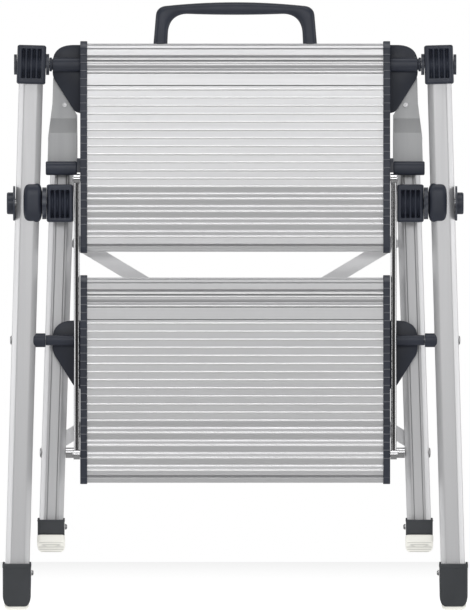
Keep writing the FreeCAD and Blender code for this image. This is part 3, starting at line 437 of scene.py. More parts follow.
low, high = np.array(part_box("front_head_right"))
head = block_grid(
    (low + high) / 2, np.array([14.9, 15.0, 20.2]) * MM, 3.0 * MM, 5.5 * MM, 1.6,
    (-14.0 * MM, 16.0 * MM), 13.2 * MM, 10.4 * MM, True)
low, high = np.array(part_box("centre_clamp_right"))
clamp = block_grid(
    (low + high) / 2, (high - low) / 2, 3.0 * MM, 5.3 * MM, 0.0,
    (-15.0 * MM, 13.5 * MM), 22.5 * MM, 19.0 * MM, False)
for side, sign in SIDES:
    for name, grid, body, node in (("ribbed_head_", head, "front_frame", "front_head_"),
                                   ("ribbed_clamp_", clamp, "rear_frame", "centre_clamp_")):
        grid_piece(name + side, sided(grid, sign), body, "plastic", [node + side], 40)
print("points in a head and in a clamp:", head[..., 0].size, clamp[..., 0].size)

# %% [markdown]
# The saddle that carries the centre pivot is a soft pill that hugs the leg. A superellipsoid
# gives such a form in one formula: powers of sine and cosine below 1 fatten a ball into a
# rounded block.


# %% Saddles
def pill_grid(low, high, upright=0.5, around=0.5, rows=40, columns=64):
    """Superellipsoid: x and y follow cos(v)^a cos(u)^b and cos(v)^a sin(u)^b, z follows sin(v)^a."""
    v = np.linspace(-np.pi / 2, np.pi / 2, rows)[1:-1, None]
    u = np.linspace(0, 2 * np.pi, columns, endpoint=False)[None, :]

    def power(value, exponent):
        """A power that keeps the sign: sign(value) x |value|^exponent."""
        return np.sign(value) * np.abs(value) ** exponent

    shape = np.stack([power(np.cos(v), upright) * power(np.cos(u), around),
                      power(np.cos(v), upright) * power(np.sin(u), around),
                      np.broadcast_to(power(np.sin(v), upright), (rows - 2, columns))], axis=-1)
    low = np.asarray(low)
    high = np.asarray(high)
    return (low + high) / 2 + shape * (high - low) / 2


low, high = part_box("centre_saddle_right")
saddle = pill_grid(low, (high[0] + 1.0 * MM, high[1], high[2] + 1.4 * MM))
for side, sign in SIDES:
    node = "centre_saddle_" + side
    grid_piece("pivot_saddle_" + side, sided(saddle, sign), "front_frame", "plastic", [node], 50)
print("saddle height in mm:", round((saddle[..., 2].max() - saddle[..., 2].min()) / MM, 1))

# %% [markdown]
# The feet are moulded caps. The front ones close the leg with a small lip, and their lower
# edges are strongly rounded on the inner side. The soles are cut at the lean that the legs
# have when the ladder stands open, so they are not level while it is folded.


# %% Feet
def rounded_block(half, corners, per_corner):
    """The soft-cornered outline of a foot or a sole in x and y."""
    wide, deep = half[:2]
    return soft_loop([(wide, -deep), (wide, deep), (-wide, deep), (-wide, -deep)], corners, per_corner)


def foot_grid(low, high, cut, corners, lip, rows=60):
    """A soft rectangle carried down; the height of the lowest rows rises across the depth by
    cut(y), and towards the bottom the section draws in by r - sqrt(r^2 - s^2)."""
    low = np.asarray(low)
    high = np.asarray(high)
    half = (high - low) / 2
    middle = (high + low) / 2
    loop = rounded_block(half, corners, 9)
    share = np.concatenate([
        [0.0, 0.0005], np.linspace(0.004, 0.10, 9), np.linspace(0.13, 0.90, rows - 16),
        [0.905, 0.93, 0.955, 0.985, 1.0],
    ])[:, None]
    bottom = cut(loop[:, 1] + middle[1])[None, :]
    z = bottom + (high[2] - bottom) * share
    radius = 3.0 * MM
    rise = np.clip(radius - (z - bottom), 0, radius)
    draw = radius - np.sqrt(radius ** 2 - rise ** 2)
    proud = np.where(share > 0.9, 0.0, lip)
    top_round = np.where(share > 0.99, 0.5 * MM, 0.0)
    x = middle[0] + loop[None, :, 0] * (1 - (draw + proud + top_round) / half[0])
    y = middle[1] + loop[None, :, 1] * (1 - (draw + proud + top_round) / half[1])
    return np.stack([x, y, z], axis=-1)


BACK_ROUNDED = np.array([(4, 4), (20, 8), (8, 20), (4, 4)]) * MM
FRONT_CUT = np.tan(np.radians(37.0))
REAR_CUT = np.tan(np.radians(20.0))
low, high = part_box("front_foot_right")
sole_low, sole_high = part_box("front_soles")
front_y = low[1]
TOE_HEIGHT = 3.5 * MM
foot = foot_grid(low, high, lambda y: TOE_HEIGHT + (y - front_y) * FRONT_CUT, 3.6 * MM, 0.35 * MM)
middle_x, half_x = (low[0] + high[0]) / 2, (high[0] - low[0]) / 2
near_floor = np.clip(1 - (foot[..., 2] - foot[..., 2].min(axis=0)) / (10 * MM), 0, 0.97)
tuck = 4.6 * MM * (1 - np.sqrt(1 - near_floor ** 2))
foot[..., 0] = middle_x + (foot[..., 0] - middle_x) * (1 - tuck / half_x)
rear_low, rear_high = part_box("rear_foot_right")


def rear_bottom(y):
    """The rear foot's cut: it rises towards the front by the slope."""
    return rear_low[2] + (rear_high[1] - y) * REAR_CUT


rear_foot = foot_grid(rear_low, rear_high, rear_bottom, BACK_ROUNDED, 0.3 * MM)
for side, sign in SIDES:
    for which, grid in (("front", foot), ("rear", rear_foot)):
        node = which + "_foot_" + side
        grid_piece(which + "_boot_" + side, sided(grid, sign), which + "_frame", "feet", [node], 50)
print("boot height in mm:", round((foot[..., 2].max() - foot[..., 2].min()) / MM, 1))

# %% [markdown]
# The soles are pads of cream rubber under the cut ends. Each is a slab that follows the slope
# of its foot. Rings of one outline, drawn in towards the middle, make the flat underside, and
# a cosine takes fine lines out of it.


# %% Soles
LINE_PITCH = 6.9 * MM


def sole_grid(low, high, lean, thick, lines, corners):
    """A soft-cornered slab that follows the tilted cut. Fine lines run across its underside:
    depth x (1 + cos(2 pi y / pitch)) / 2 is taken off. Returns the grid and that relief."""
    low = np.asarray(low)
    high = np.asarray(high)
    half = (high - low) / 2
    middle = (high + low) / 2
    edge = rounded_block(half, corners, 12)
    rim = [0.965, 0.985, 1.0, 1.0, 1.0, 0.985, 0.96, 0.05]
    rings = np.concatenate([np.linspace(0.05, 0.93, 26), rim])[:, None]
    level = np.concatenate([np.zeros(26), [0.01, 0.05, 0.16, 0.5, 0.85, 0.96, 1.0, 1.0]])[:, None]
    x = middle[0] + edge[None, :, 0] * rings
    y = middle[1] + edge[None, :, 1] * rings
    plane = low[2] + (y - low[1]) * lean if lean > 0 else low[2] + (high[1] - y) * -lean
    wave = 0.5 * (1 + np.cos(2 * np.pi * (y - middle[1]) / LINE_PITCH))
    groove = lines * wave * (rings < 0.9) * (level == 0)
    # The relief returned paints shade into the fine lines.
    return np.stack([x, y, plane + thick * level + groove], axis=-1), -groove / MM


front_sole, front_lines = sole_grid(
    (low[0] + 2.4 * MM, sole_low[1], sole_low[2]), (high[0] - 2.0 * MM, sole_high[1], 0),
    FRONT_CUT, 3.6 * MM, 0.5 * MM, 6.0 * MM)
sole_low, sole_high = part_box("rear_soles")
rear_sole_z = sole_low[2] - 1.0 * MM
rear_sole, rear_lines = sole_grid(
    (rear_low[0] - 0.2 * MM, sole_low[1], rear_sole_z), (rear_high[0] + 0.2 * MM, sole_high[1], 0),
    -REAR_CUT, 7.6 * MM, 0.8 * MM, BACK_ROUNDED)
rear_sole[..., 2] = np.maximum(rear_sole[..., 2], sole_low[2])
for side, sign in SIDES:
    for which, grid, lines in (("front", front_sole, front_lines), ("rear", rear_sole, rear_lines)):
        stands_for = [which + "_soles"] if side == "right" else ()
        name = which + "_sole_" + side
        grid_piece(name, sided(grid, sign), which + "_frame", "pale_soles", stands_for, 60, lines)
print("sole lines, deepest in mm:", round(-front_lines.min(), 2), round(-rear_lines.min(), 2))

# %% [markdown]
# A small tab stands up at each upper corner of a foot, where the moulding grips the leg's
# bevels. A tab is a soft-cornered outline carried a few millimetres front to back.


# %% Tabs on the feet
def tab_grid(x, z, y):
    """A tab 2.4 mm wide and 3 mm tall with a rounded top, centred on x and y, standing at z."""
    wide, tall, sunk, deep = np.array([1.2, 1.8, 1.2, 4.0]) * MM
    corners = [(x - wide, z + tall), (x + wide, z + tall), (x + wide, z - sunk), (x - wide, z - sunk)]
    outline = soft_loop(corners, np.array([0.9, 0.9, 0.3, 0.3]) * MM, 5)
    return plate_grid(outline, y - deep, y + deep, 0.4 * MM)


for which in ("front", "rear"):
    low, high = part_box(which + "_foot_right")
    for end, x in (("inner", low[0] + 1.3 * MM), ("outer", high[0] - 1.3 * MM)):
        tab = tab_grid(x, high[2], (low[1] + high[1]) / 2)
        for side, sign in SIDES:
            name = "%s_foot_%s_tab_%s" % (which, end, side)
            grid_piece(name, sided(tab, sign), which + "_frame", "feet", (), 50)
    print(which, "foot tabs stand at a height of", round(high[2] / MM, 1), "mm")

# %% [markdown]
# The carrying handle is one moulded arch. Its outer outline has tight corners and a gently
# raised middle, and its inner outline has wide corners and a slightly swelling grip.
# Two outlines with the same number of points give a centre line and a width at each station,
# and a superellipse section is carried along them.


# %% Handle
def soft_path(corners, radii, per_run, per_corner):
    """An open path with rounded corners, with the same count of points for any corner places."""
    corner = np.asarray(corners, float)
    parts = []
    start = corner[0]
    for number in range(1, len(corner) - 1):
        back = corner[number - 1] - corner[number]
        on = corner[number + 1] - corner[number]
        enter = corner[number] + back / np.linalg.norm(back) * radii[number - 1]
        leave = corner[number] + on / np.linalg.norm(on) * radii[number - 1]
        t = np.linspace(0, 1, per_run, endpoint=False)[:, None]
        parts.append(start + (enter - start) * t)
        t = np.linspace(0, 1, per_corner, endpoint=False)[:, None]
        parts.append((1 - t) ** 2 * enter + 2 * t * (1 - t) * corner[number] + t ** 2 * leave)
        start = leave
    t = np.linspace(0, 1, per_run)[:, None]
    parts.append(start + (corner[-1] - start) * t)
    return np.concatenate(parts)


low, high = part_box("handle")
half_wide = high[0]
foot_z = low[2]
top_z = high[2]
CROWN_RISE = 4.6 * MM
outer_shoulder = (half_wide - 3.3 * MM, top_z - CROWN_RISE)
outer = soft_path([(-half_wide, foot_z), (-outer_shoulder[0], outer_shoulder[1]),
                   outer_shoulder, (half_wide, foot_z)], [9.5 * MM, 9.5 * MM], 14, 14)
inside = half_wide - 14.6 * MM
inner_shoulder = (inside - 1.4 * MM, top_z - 12.0 * MM)
inner = soft_path([(-inside, foot_z), (-inner_shoulder[0], inner_shoulder[1]),
                   inner_shoulder, (inside, foot_z)], [21.0 * MM, 21.0 * MM], 14, 14)
crown = 1 - np.clip(np.abs(outer[:, 0]) / (half_wide * 0.93), 0, 1) ** 2
outer[:, 1] += CROWN_RISE * np.where(outer[:, 1] > top_z - 9 * MM, crown, 0)
swell = np.clip(1 - (np.abs(inner[:, 0]) / (inside * 0.75)) ** 2, 0, 1)
inner[:, 1] -= 1.1 * MM * swell * (inner[:, 1] > top_z - 13 * MM)
turn = np.linspace(0, 2 * np.pi, 40, endpoint=False)
section = np.stack([np.sign(np.cos(turn)) * np.abs(np.cos(turn)) ** 0.62,
                    np.sign(np.sin(turn)) * np.abs(np.sin(turn)) ** 0.62], axis=1)
centre = (outer + inner) / 2
reach = (outer - inner) / 2
grid = np.empty((len(centre), len(section), 3))
grid[..., 0] = centre[:, None, 0] + reach[:, None, 0] * section[:, 0]
grid[..., 1] = (low[1] + high[1]) / 2 + 10.9 * MM * section[:, 1]
grid[..., 2] = centre[:, None, 1] + reach[:, None, 1] * section[:, 0]
grid_piece("carrying_handle", grid, "top_tread", "plastic", ["handle"], 60)
print("handle stations:", len(centre), "and its height in mm:", round((top_z - foot_z) / MM, 1))

# %% [markdown]
# Rivets have low domed heads. A dome is a circle whose radius shrinks as it rises, and the
# same dome serves the braces, the lower axle and the feet.


# %% Rivet heads
def dome_grid(centre, direction, radius, rise, rows=10, columns=28):
    """Rings along x: the radius follows cos(v)^0.6 and the rise follows sin(v)."""
    v = np.linspace(0, np.pi / 2 * 0.995, rows)[:, None]
    u = np.linspace(0, 2 * np.pi, columns, endpoint=False)[None, :]
    ring = radius * np.cos(v) ** 0.6
    x = np.broadcast_to(centre[0] + direction * rise * np.sin(v), (rows, columns))
    return np.stack([x, centre[1] + ring * np.cos(u), centre[2] + ring * np.sin(u)], axis=-1)


def right_reach(node):
    """The lowest and highest x of a mirrored pair's right-hand member."""
    mesh = nodes[node].data
    flat = np.empty(len(mesh.vertices) * 3)
    mesh.vertices.foreach_get("co", flat)
    x = flat.reshape(-1, 3)[:, 0]
    return x[x > 0].min(), x.max()


RIVETS = (
    ("lower_rivets", "front_frame", 1), ("brace_rivets", "rear_frame", 1),
    ("front_foot_rivets", "front_frame", -1), ("rear_foot_rivets", "rear_frame", -1),
)
for node, body, direction in RIVETS:
    low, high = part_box(node)
    radius = (high[2] - low[2]) / 2
    start, end = right_reach(node)[::direction]
    place = (start, (low[1] + high[1]) / 2, (low[2] + high[2]) / 2)
    dome = dome_grid(place, direction, radius, abs(end - start))
    for side, sign in SIDES:
        stands_for = [node] if side == "right" else ()
        grid_piece(node[:-1] + "_" + side, sided(dome, sign), body, "rivets", stands_for, 60)
    print(node, "head radius in mm:", round(radius / MM, 1))

# %% [markdown]
# Sleeves and knuckles turn on the axles. They are mouldings with slightly flat sides, so a
# superellipse serves as their section, and a list of stations gives the steps along them.


# %% Sleeves and knuckles
def barrel_grid(stations, axle_y, axle_z, fat, columns=48):
    """Rings along x: each station is (x, radius), and its ring is the superellipse
    (r cos(u)^fat, r sin(u)^fat)."""
    x, radius = np.array(stations, float).T
    u = np.linspace(0, 2 * np.pi, columns, endpoint=False)
    across = np.sign(np.cos(u)) * np.abs(np.cos(u)) ** fat
    up = np.sign(np.sin(u)) * np.abs(np.sin(u)) ** fat
    grid = np.empty((len(x), columns, 3))
    grid[..., 0] = x[:, None]
    grid[..., 1] = axle_y + radius[:, None] * across
    grid[..., 2] = axle_z + radius[:, None] * up
    return grid


def eased(start, end, radius, ease):
    """Stations of a bar whose ends are rounded: the radius falls by e(1 - cos) as x runs out."""
    t = np.linspace(np.pi / 2, 0, 6)
    inward = ease * (1 - np.sin(t))
    smaller = radius - ease * (1 - np.cos(t))
    rise = np.stack([start + inward, smaller], axis=1)
    fall = np.stack([end - inward, smaller], axis=1)[::-1]
    return np.concatenate([rise, fall])


def bar_of(node, ease, fat, from_x=None, to_x=None):
    """An eased bar in the place of a pair of round parts, from the right-hand one's box."""
    low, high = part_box(node)
    start, end = right_reach(node)
    if from_x is not None:
        start = from_x
    if to_x is not None:
        end = to_x
    stations = eased(start, end, (high[2] - low[2]) / 2, ease)
    return barrel_grid(stations, (low[1] + high[1]) / 2, (low[2] + high[2]) / 2, fat)


low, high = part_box("top_axle_sleeves")
sleeve_end = high[0] - 3.6 * MM
sleeve = bar_of("top_axle_sleeves", 0.5 * MM, 0.74, None, sleeve_end)
NECK = 5.8 * MM
neck_stations = [(sleeve_end, NECK), (sleeve_end + 1 * MM, NECK)]
neck = barrel_grid(neck_stations, sleeve[0, :, 1].mean(), AXLE_Z["top"], 1.0)
ring = bar_of("top_axle_sleeves", 0.6 * MM, 0.9, sleeve_end + 1 * MM)
BARS = (
    ("top_axle_sleeves", "top_tread", "axle_sleeve", np.concatenate([sleeve, neck, ring])),
    ("lower_sleeves", "front_frame", "lower_sleeve", bar_of("lower_sleeves", 0.8 * MM, 0.85)),
    ("lower_axle_tubes", "lower_tread", "lower_axle_bar", bar_of("lower_axle_tubes", 0.4 * MM, 0.78)),
    ("arm_knuckles", "top_tread", "knuckle", bar_of("arm_knuckles", 1.5 * MM, 0.7)),
)
for node, body, name, grid in BARS:
    for side, sign in SIDES:
        stands_for = [node] if side == "right" else ()
        grid_piece(name + "_" + side, sided(grid, sign), body, "plastic", stands_for, 50)
print("bars:", len(BARS) * 2)

# %% [markdown]
# Effects that several materials use are node groups. Each one puts out a colour factor, a
# height or a roughness that changes over the surface, and the shader itself stays in the
# material, where its plain values can be read.


# %% Effect groups
def new_group(name, inputs, outputs):
    """An empty group with its named inputs and outputs."""
    group = bpy.data.node_groups.new(name, "ShaderNodeTree")
    for label, kind, value in inputs:
        socket = group.interface.new_socket(label, in_out="INPUT", socket_type="NodeSocket" + kind)
        socket.default_value = value
    for label, kind in outputs:
        group.interface.new_socket(label, in_out="OUTPUT", socket_type="NodeSocket" + kind)
    return group, group.nodes.new("NodeGroupInput"), group.nodes.new("NodeGroupOutput")


def add(tree, kind, **values):
    """One shader node in a tree, with some of its settings."""
    node = tree.nodes.new("ShaderNode" + kind)
    for key, value in values.items():
        setattr(node, key, value)
    return node


def ramp(tree, source, low, high, low_value=0.0, high_value=1.0):
    """Map Range from low..high to low_value..high_value, clamped."""
    node = add(tree, "MapRange")
    tree.links.new(source, node.inputs["Value"])
    ends = {"From Min": low, "From Max": high, "To Min": low_value, "To Max": high_value}
    for label, value in ends.items():
        node.inputs[label].default_value = value
    return node.outputs["Result"]


print("node helpers:", new_group.__name__, add.__name__, ramp.__name__)

# %% [markdown]
# Aluminium pulled through a die has fine streaks along its length. An image could show them,
# but noise has no seams and fits any length: it is simply stretched along one direction.


# %% Drawn grain
def drawn_grain():
    """Fine streaks along one direction, as a die leaves them: noise on stretched coordinates."""
    group, inner_in, inner_out = new_group(
        "drawn_grain", [("Stretch", "Vector", (1.0, 1.0, 1.0)), ("Scale", "Float", 60.0)],
        [("Shade", "Float"), ("Height", "Float")])
    where = add(group, "TexCoord")
    stretch = add(group, "VectorMath", operation="MULTIPLY")
    group.links.new(where.outputs["Object"], stretch.inputs[0])
    group.links.new(inner_in.outputs["Stretch"], stretch.inputs[1])
    streaks = add(group, "TexNoise")
    streaks.inputs["Detail"].default_value = 5.0
    streaks.inputs["Roughness"].default_value = 0.65
    group.links.new(stretch.outputs[0], streaks.inputs["Vector"])
    group.links.new(inner_in.outputs["Scale"], streaks.inputs["Scale"])
    group.links.new(ramp(group, streaks.outputs["Fac"], 0.3, 0.7), inner_out.inputs["Shade"])
    group.links.new(streaks.outputs["Fac"], inner_out.inputs["Height"])
    return group


GRAIN = drawn_grain()
print("group:", GRAIN.name, "with", len(GRAIN.nodes), "nodes")

# %% [markdown]
# Plastic takes the fine pebble of its mould, and its gloss changes softly in clouds. Two
# noises of very different size give the two, and neither needs a picture.


# %% Moulded skin
def moulded_skin():
    """The fine pebble of a spark-eroded mould, with soft cloudy changes of gloss."""
    group, inner_in, inner_out = new_group(
        "moulded_skin", [("Grain", "Float", 2600.0)], [("Height", "Float"), ("Cloud", "Float")])
    where = add(group, "TexCoord")
    pebble = add(group, "TexNoise")
    pebble.inputs["Detail"].default_value = 2.0
    cloud = add(group, "TexNoise")
    cloud.inputs["Scale"].default_value = 22.0
    cloud.inputs["Detail"].default_value = 4.0
    for noise in (pebble, cloud):
        group.links.new(where.outputs["Object"], noise.inputs["Vector"])
    group.links.new(inner_in.outputs["Grain"], pebble.inputs["Scale"])
    group.links.new(pebble.outputs["Fac"], inner_out.inputs["Height"])
    group.links.new(ramp(group, cloud.outputs["Fac"], 0.35, 0.65), inner_out.inputs["Cloud"])
    return group


SKIN = moulded_skin()
print("group:", SKIN.name, "with", len(SKIN.nodes), "nodes")

# %% [markdown]
# Hands and floors rub outward edges paler. They could be painted one by one, but the mesh's
# pointiness finds them all, and noise breaks them up so that they don't look like a line.


# %% Rubbed edges
def rubbed_edges():
    """A mask of outward edges, broken up by noise: the mesh's pointiness above one half."""
    group, inner_in, inner_out = new_group("rubbed_edges", [("Amount", "Float", 0.5)], [("Mask", "Float")])
    shape = add(group, "NewGeometry")
    where = add(group, "TexCoord")
    broken = add(group, "TexNoise")
    broken.inputs["Scale"].default_value = 140.0
    group.links.new(where.outputs["Object"], broken.inputs["Vector"])
    edge = ramp(group, shape.outputs["Pointiness"], 0.53, 0.62)
    patchy = ramp(group, broken.outputs["Fac"], 0.35, 0.6)
    first = add(group, "Math", operation="MULTIPLY")
    group.links.new(edge, first.inputs[0])
    group.links.new(patchy, first.inputs[1])
    second = add(group, "Math", operation="MULTIPLY")
    group.links.new(first.outputs[0], second.inputs[0])
    group.links.new(inner_in.outputs["Amount"], second.inputs[1])
    group.links.new(second.outputs[0], inner_out.inputs["Mask"])
    return group


EDGES = rubbed_edges()
print("group:", EDGES.name, "with", len(EDGES.nodes), "nodes")

# %% [markdown]
# A material is a Principled shader with a base colour, a roughness and a bump. The metals mix
# two close greys by the drawn grain; the plastics mix in a paler tone on rubbed edges.


# %% Shader helpers
def placed(tree, group, **values):
    """An effect group placed in a material, with its own values."""
    node = tree.nodes.new("ShaderNodeGroup")
    node.node_tree = group
    for label, value in values.items():
        node.inputs[label].default_value = value
    return node


def mixed(tree, factor, first, second):
    """The colour first x (1 - factor) + second x factor."""
    node = add(tree, "Mix", data_type="RGBA")
    tree.links.new(factor, node.inputs["Factor"])
    if isinstance(first, tuple):
        node.inputs["A"].default_value = (*first, 1.0)
    else:
        tree.links.new(first, node.inputs["A"])
    node.inputs["B"].default_value = (*second, 1.0)
    return node.outputs["Result"]


def new_material(name, metallic, specular=0.5):
    """A material with its own Principled shader."""
    material = bpy.data.materials.new(name)
    material.use_nodes = True
    tree = material.node_tree
    shader = tree.nodes["Principled BSDF"]
    shader.inputs["Metallic"].default_value = metallic
    shader.inputs["Specular IOR Level"].default_value = specular
    return material, tree, shader


def roughen(tree, shader, height, strength, distance):
    """Feeds a height to the shader's normal through a Bump node."""
    bump_node = add(tree, "Bump")
    bump_node.inputs["Strength"].default_value = strength
    bump_node.inputs["Distance"].default_value = distance
    tree.links.new(height, bump_node.inputs["Height"])
    tree.links.new(bump_node.outputs["Normal"], shader.inputs["Normal"])


def relief_shade_and_highlight(tree, colour, sunk, proud):
    """Paints shade into grooves with the sunk tone and a highlight onto ribs with the proud one."""
    relief = add(tree, "Attribute", attribute_name="relief")
    lower = mixed(tree, ramp(tree, relief.outputs["Fac"], -0.05, -0.9), colour, sunk)
    return mixed(tree, ramp(tree, relief.outputs["Fac"], 0.15, 0.7), lower, proud)


print("shader helpers:", placed.__name__, mixed.__name__, roughen.__name__, relief_shade_and_highlight.__name__)

# %% [markdown]
# Two makers cover every piece. Metal follows its grain, in tone and in gloss. A moulding
# follows its cloudy skin. Both paint shade into grooves and highlights onto ribs, where a piece has them.


# %% Drawn metal and moulded plastic
def drawn_metal(name, stretch, light, dark, rough, metallic=0.75, scale=60.0, wear=0.35):
    """A metal whose tone and gloss follow its drawn grain."""
    material, tree, shader = new_material(name, metallic)
    grain = placed(tree, GRAIN, Stretch=stretch, Scale=scale)
    edge = placed(tree, EDGES, Amount=wear)
    colour = mixed(tree, grain.outputs["Shade"], dark, light)
    brighter = mixed(tree, edge.outputs["Mask"], colour, (0.93, 0.93, 0.94))
    # Painted shade in the relief's grooves (grey 0.40) and a painted highlight on its ribs (grey 0.99).
    relief_lit_colour = relief_shade_and_highlight(tree, brighter, (0.40, 0.40, 0.41), (0.99, 0.99, 0.99))
    tree.links.new(relief_lit_colour, shader.inputs["Base Color"])
    gloss = ramp(tree, grain.outputs["Shade"], 0, 1, rough + 0.05, rough - 0.04)
    tree.links.new(gloss, shader.inputs["Roughness"])
    roughen(tree, shader, grain.outputs["Height"], 0.12, 0.0002)
    return material


def moulded(name, dark, light, worn, rough, grain=2600.0, wear=0.5):
    """A moulded plastic or rubber with a pebbled skin and paler edges."""
    material, tree, shader = new_material(name, 0.0, 0.42)
    skin = placed(tree, SKIN, Grain=grain)
    edge = placed(tree, EDGES, Amount=wear)
    colour = mixed(tree, skin.outputs["Cloud"], dark, light)
    rubbed = mixed(tree, edge.outputs["Mask"], colour, worn)
    # Painted shade in grooves at 0.55 of the dark tone, and the worn tone on ribs as a painted highlight.
    relief_lit_colour = relief_shade_and_highlight(tree, rubbed, tuple(0.55 * part for part in dark), worn)
    tree.links.new(relief_lit_colour, shader.inputs["Base Color"])
    gloss = ramp(tree, skin.outputs["Cloud"], 0, 1, rough + 0.06, rough - 0.05)
    tree.links.new(gloss, shader.inputs["Roughness"])
    roughen(tree, shader, skin.outputs["Height"], 0.25, 0.00012)
    return material


print("makers ready: drawn metal and moulded plastic")

# %% [markdown]
# The metals differ in tone, gloss and the way their grain runs: across on the treads, along on
# the legs and rods. They could share one material, but then the polished rods and the duller
# pressed arms would look alike. So each has its own values, with its two tones kept close,
# since aluminium from one die hardly varies. The crossed braces are the palest strips.


# %% Metals
ALONG_X = (0.02, 1.0, 1.0)
ALONG_Z = (1.0, 1.0, 0.02)
ANY_WAY = (1, 1, 1)


def grey(value, blue=0.01):
    """A neutral grey with a touch of blue."""
    return (value, value, value + blue)


FINISH = {
    "treads": drawn_metal("tread_extrusion", ALONG_X, grey(0.80), grey(0.75), 0.33, 0.7, 260.0),
    "legs": drawn_metal("leg_extrusion", ALONG_Z, grey(0.72), grey(0.69), 0.44, 0.6, 220.0),
    "arms": drawn_metal(
        "pressed_sheet", ALONG_Z, (0.46, 0.465, 0.47), (0.44, 0.445, 0.455), 0.42, 0.6, 160.0, 0.0),
    "braces": drawn_metal("pale_strip", ALONG_X, grey(0.90), grey(0.86), 0.45, 0.2, 160.0, 0.0),
    "rods": drawn_metal("polished_rod", ALONG_Z, grey(0.86), grey(0.80), 0.1, 1.0, 90.0),
    "pins": drawn_metal("turned_steel", ALONG_X, grey(0.62), grey(0.54), 0.28, 1.0, 160.0),
    "rivets": drawn_metal("rivet_steel", ANY_WAY, grey(0.58), grey(0.46), 0.3, 1.0, 300.0),
}
print("metals:", len(FINISH))

# %% [markdown]
# The mouldings are a blue-black plastic, a slightly lighter one on the feet, and cream rubber
# on the soles. All three come from one maker with other tones. At the end every piece gets
# the finish of its slot, and so do the parts that are shown as they came from the CAD model.

# %% Plastics, and a finish for every piece
FINISH["plastic"] = moulded(
    "anthracite_plastic", (0.024, 0.028, 0.041), (0.031, 0.036, 0.052), (0.12, 0.125, 0.14), 0.38)
FINISH["feet"] = moulded(
    "foot_plastic", (0.040, 0.044, 0.049), (0.050, 0.054, 0.060), (0.12, 0.125, 0.13), 0.5)
FINISH["pale_soles"] = moulded(
    "cream_rubber", (0.90, 0.89, 0.83), (0.94, 0.93, 0.87), (0.80, 0.78, 0.72), 0.55, 1500.0, 0.2)
for piece in list(bpy.data.objects):
    if piece.type != "MESH":
        continue
    slot = slot_of.get(piece.name) or piece.get("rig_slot")
    if piece.name in ("brace_front", "brace_back"):
        slot = "braces"
    if slot in FINISH:
        piece.data.materials.clear()
        piece.data.materials.append(FINISH[slot])
print("materials:", len(FINISH))

# %% [markdown]
# The floor is pale and plain, and glows a little so that it stays white to its far edge. It is
# left out of reflections, which would otherwise fill the metal with white. A dark card in
# front, seen only in reflections, gives the polished rods their dark middle stripe.


# %% Floor and card
def sheet(name, corners, colour):
    """A flat stage surface through four corners."""
    mesh = bpy.data.meshes.new(name)
    mesh.from_pydata(corners, [], [(0, 1, 2, 3)])
    surface = bpy.data.objects.new(name, mesh)
    bpy.context.scene.collection.objects.link(surface)
    material, tree, shader = new_material(name + "_finish", 0.0, 0.1)
    shader.inputs["Base Color"].default_value = (*colour, 1.0)
    shader.inputs["Roughness"].default_value = 0.9
    mesh.materials.append(material)
    return surface, shader


floor_corners = [(-4, -4, 0), (4, -4, 0), (4, 3, 0), (-4, 3, 0)]
floor, floor_shader = sheet("floor", floor_corners, (0.95, 0.95, 0.95))
floor_shader.inputs["Emission Color"].default_value = (1, 1, 1, 1)
floor_shader.inputs["Emission Strength"].default_value = 0.6
floor.visible_glossy = False

card_corners = [(-2.6, -2.8, -0.5), (2.6, -2.8, -0.5), (2.6, -2.8, 2.6), (-2.6, -2.8, 2.6)]
card = sheet("dark_card", card_corners, (0.02, 0.02, 0.02))[0]
card.visible_camera = False
card.visible_diffuse = False
card.visible_shadow = False
print("stage surfaces:", floor.name, card.name)

# %% [markdown]
# The camera stands far off with a long lens, at the height of the ladder's middle, so nothing
# converges. An orthographic camera would do the same, but a long lens keeps the slight
# narrowing that any real view has. Its focal length is sensor x distance / height shown.

# %% Camera
SHOWN_HEIGHT = 636.5 * MM
CAMERA_Z = 316.6 * MM
DISTANCE = 16.0
SENSOR = 36.0
camera_data = bpy.data.cameras.new("camera")
camera_data.sensor_fit = "VERTICAL"
camera_data.sensor_height = SENSOR
camera_data.lens = SENSOR * DISTANCE / SHOWN_HEIGHT
camera_data.clip_end = 60.0
camera = bpy.data.objects.new("camera", camera_data)
camera.location = (-0.0002, -DISTANCE - 0.03, CAMERA_Z)
camera.rotation_euler = (np.pi / 2, 0, 0)
bpy.context.scene.collection.objects.link(camera)
bpy.context.scene.camera = camera
print("lens in mm:", round(camera_data.lens, 1))

# %% [markdown]
# The front light hangs high, which makes the upper tread the brighter one. A top light picks
# out the ribs, a weak low one lifts the feet a little, and one at each side brightens the
# legs' outer bevels. Small lamps could do this too, but they leave hard shadows between the
# frames, so all of them are wide area lights.


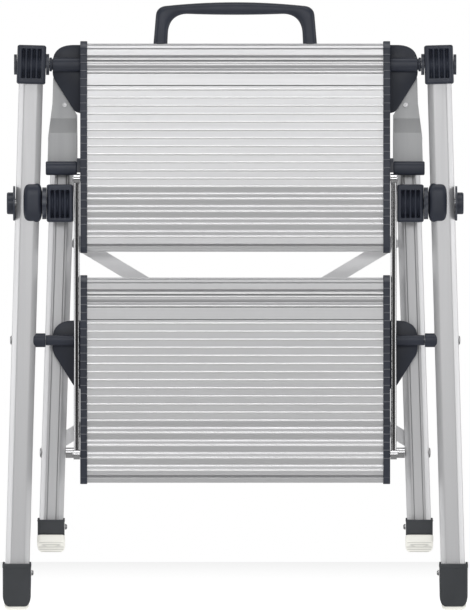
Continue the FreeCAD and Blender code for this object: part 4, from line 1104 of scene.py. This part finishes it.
# %% Lights
def soft_light(name, place, aim, size, power):
    """A rectangular area light at a place, turned towards a point."""
    data = bpy.data.lights.new(name, "AREA")
    data.shape = "RECTANGLE"
    data.size, data.size_y = size
    data.energy = power
    lamp = bpy.data.objects.new(name, data)
    lamp.location = place
    toward = Vector(aim) - Vector(place)
    lamp.rotation_euler = toward.to_track_quat("-Z", "Y").to_euler()
    lamp.visible_camera = False
    bpy.context.scene.collection.objects.link(lamp)


soft_light("front_light", (0, -2.2, 0.88), (0, 0, 0.55), (2.6, 0.5), 12)
soft_light("low_light", (0, -2.2, -0.02), (0, 0, 0.1), (2.6, 0.25), 0.7)
soft_light("top_light", (0, -0.7, 2.2), (0, 0, 0.3), (2.4, 1.0), 14)
for sign in (-1, 1):
    soft_light("leg_light", (sign * 1.3, 0.04, 0.33), (sign * 0.22, 0.02, 0.33), (0.7, 1.0), 3.4)
soft_light("back_light", (0, 2.2, 1.7), (0, 0, 0.3), (2.4, 1.4), 5)

# %% [markdown]
# The world does two jobs. The camera sees a plain white backdrop, while the ladder itself is
# lit by a much dimmer room. One strength for both would make the room too bright for the
# metals. The Light Path node tells the camera's rays from the others.

# %% Backdrop and room light
world = bpy.data.worlds.new("studio")
bpy.context.scene.world = world
world.use_nodes = True
tree = world.node_tree
tree.nodes.clear()
seen = tree.nodes.new("ShaderNodeLightPath")
room = tree.nodes.new("ShaderNodeBackground")
room.inputs["Color"].default_value = (1, 1, 1, 1)
room.inputs["Strength"].default_value = 0.25
backdrop = tree.nodes.new("ShaderNodeBackground")
backdrop.inputs["Color"].default_value = (1, 1, 1, 1)
backdrop.inputs["Strength"].default_value = 1.0
choose = tree.nodes.new("ShaderNodeMixShader")
result = tree.nodes.new("ShaderNodeOutputWorld")
tree.links.new(seen.outputs["Is Camera Ray"], choose.inputs[0])
tree.links.new(room.outputs[0], choose.inputs[1])
tree.links.new(backdrop.outputs[0], choose.inputs[2])
tree.links.new(choose.outputs[0], result.inputs["Surface"])
bpy.context.scene.view_settings.view_transform = "Standard"
bpy.context.scene.view_settings.look = "None"
print("room strength:", room.inputs["Strength"].default_value)
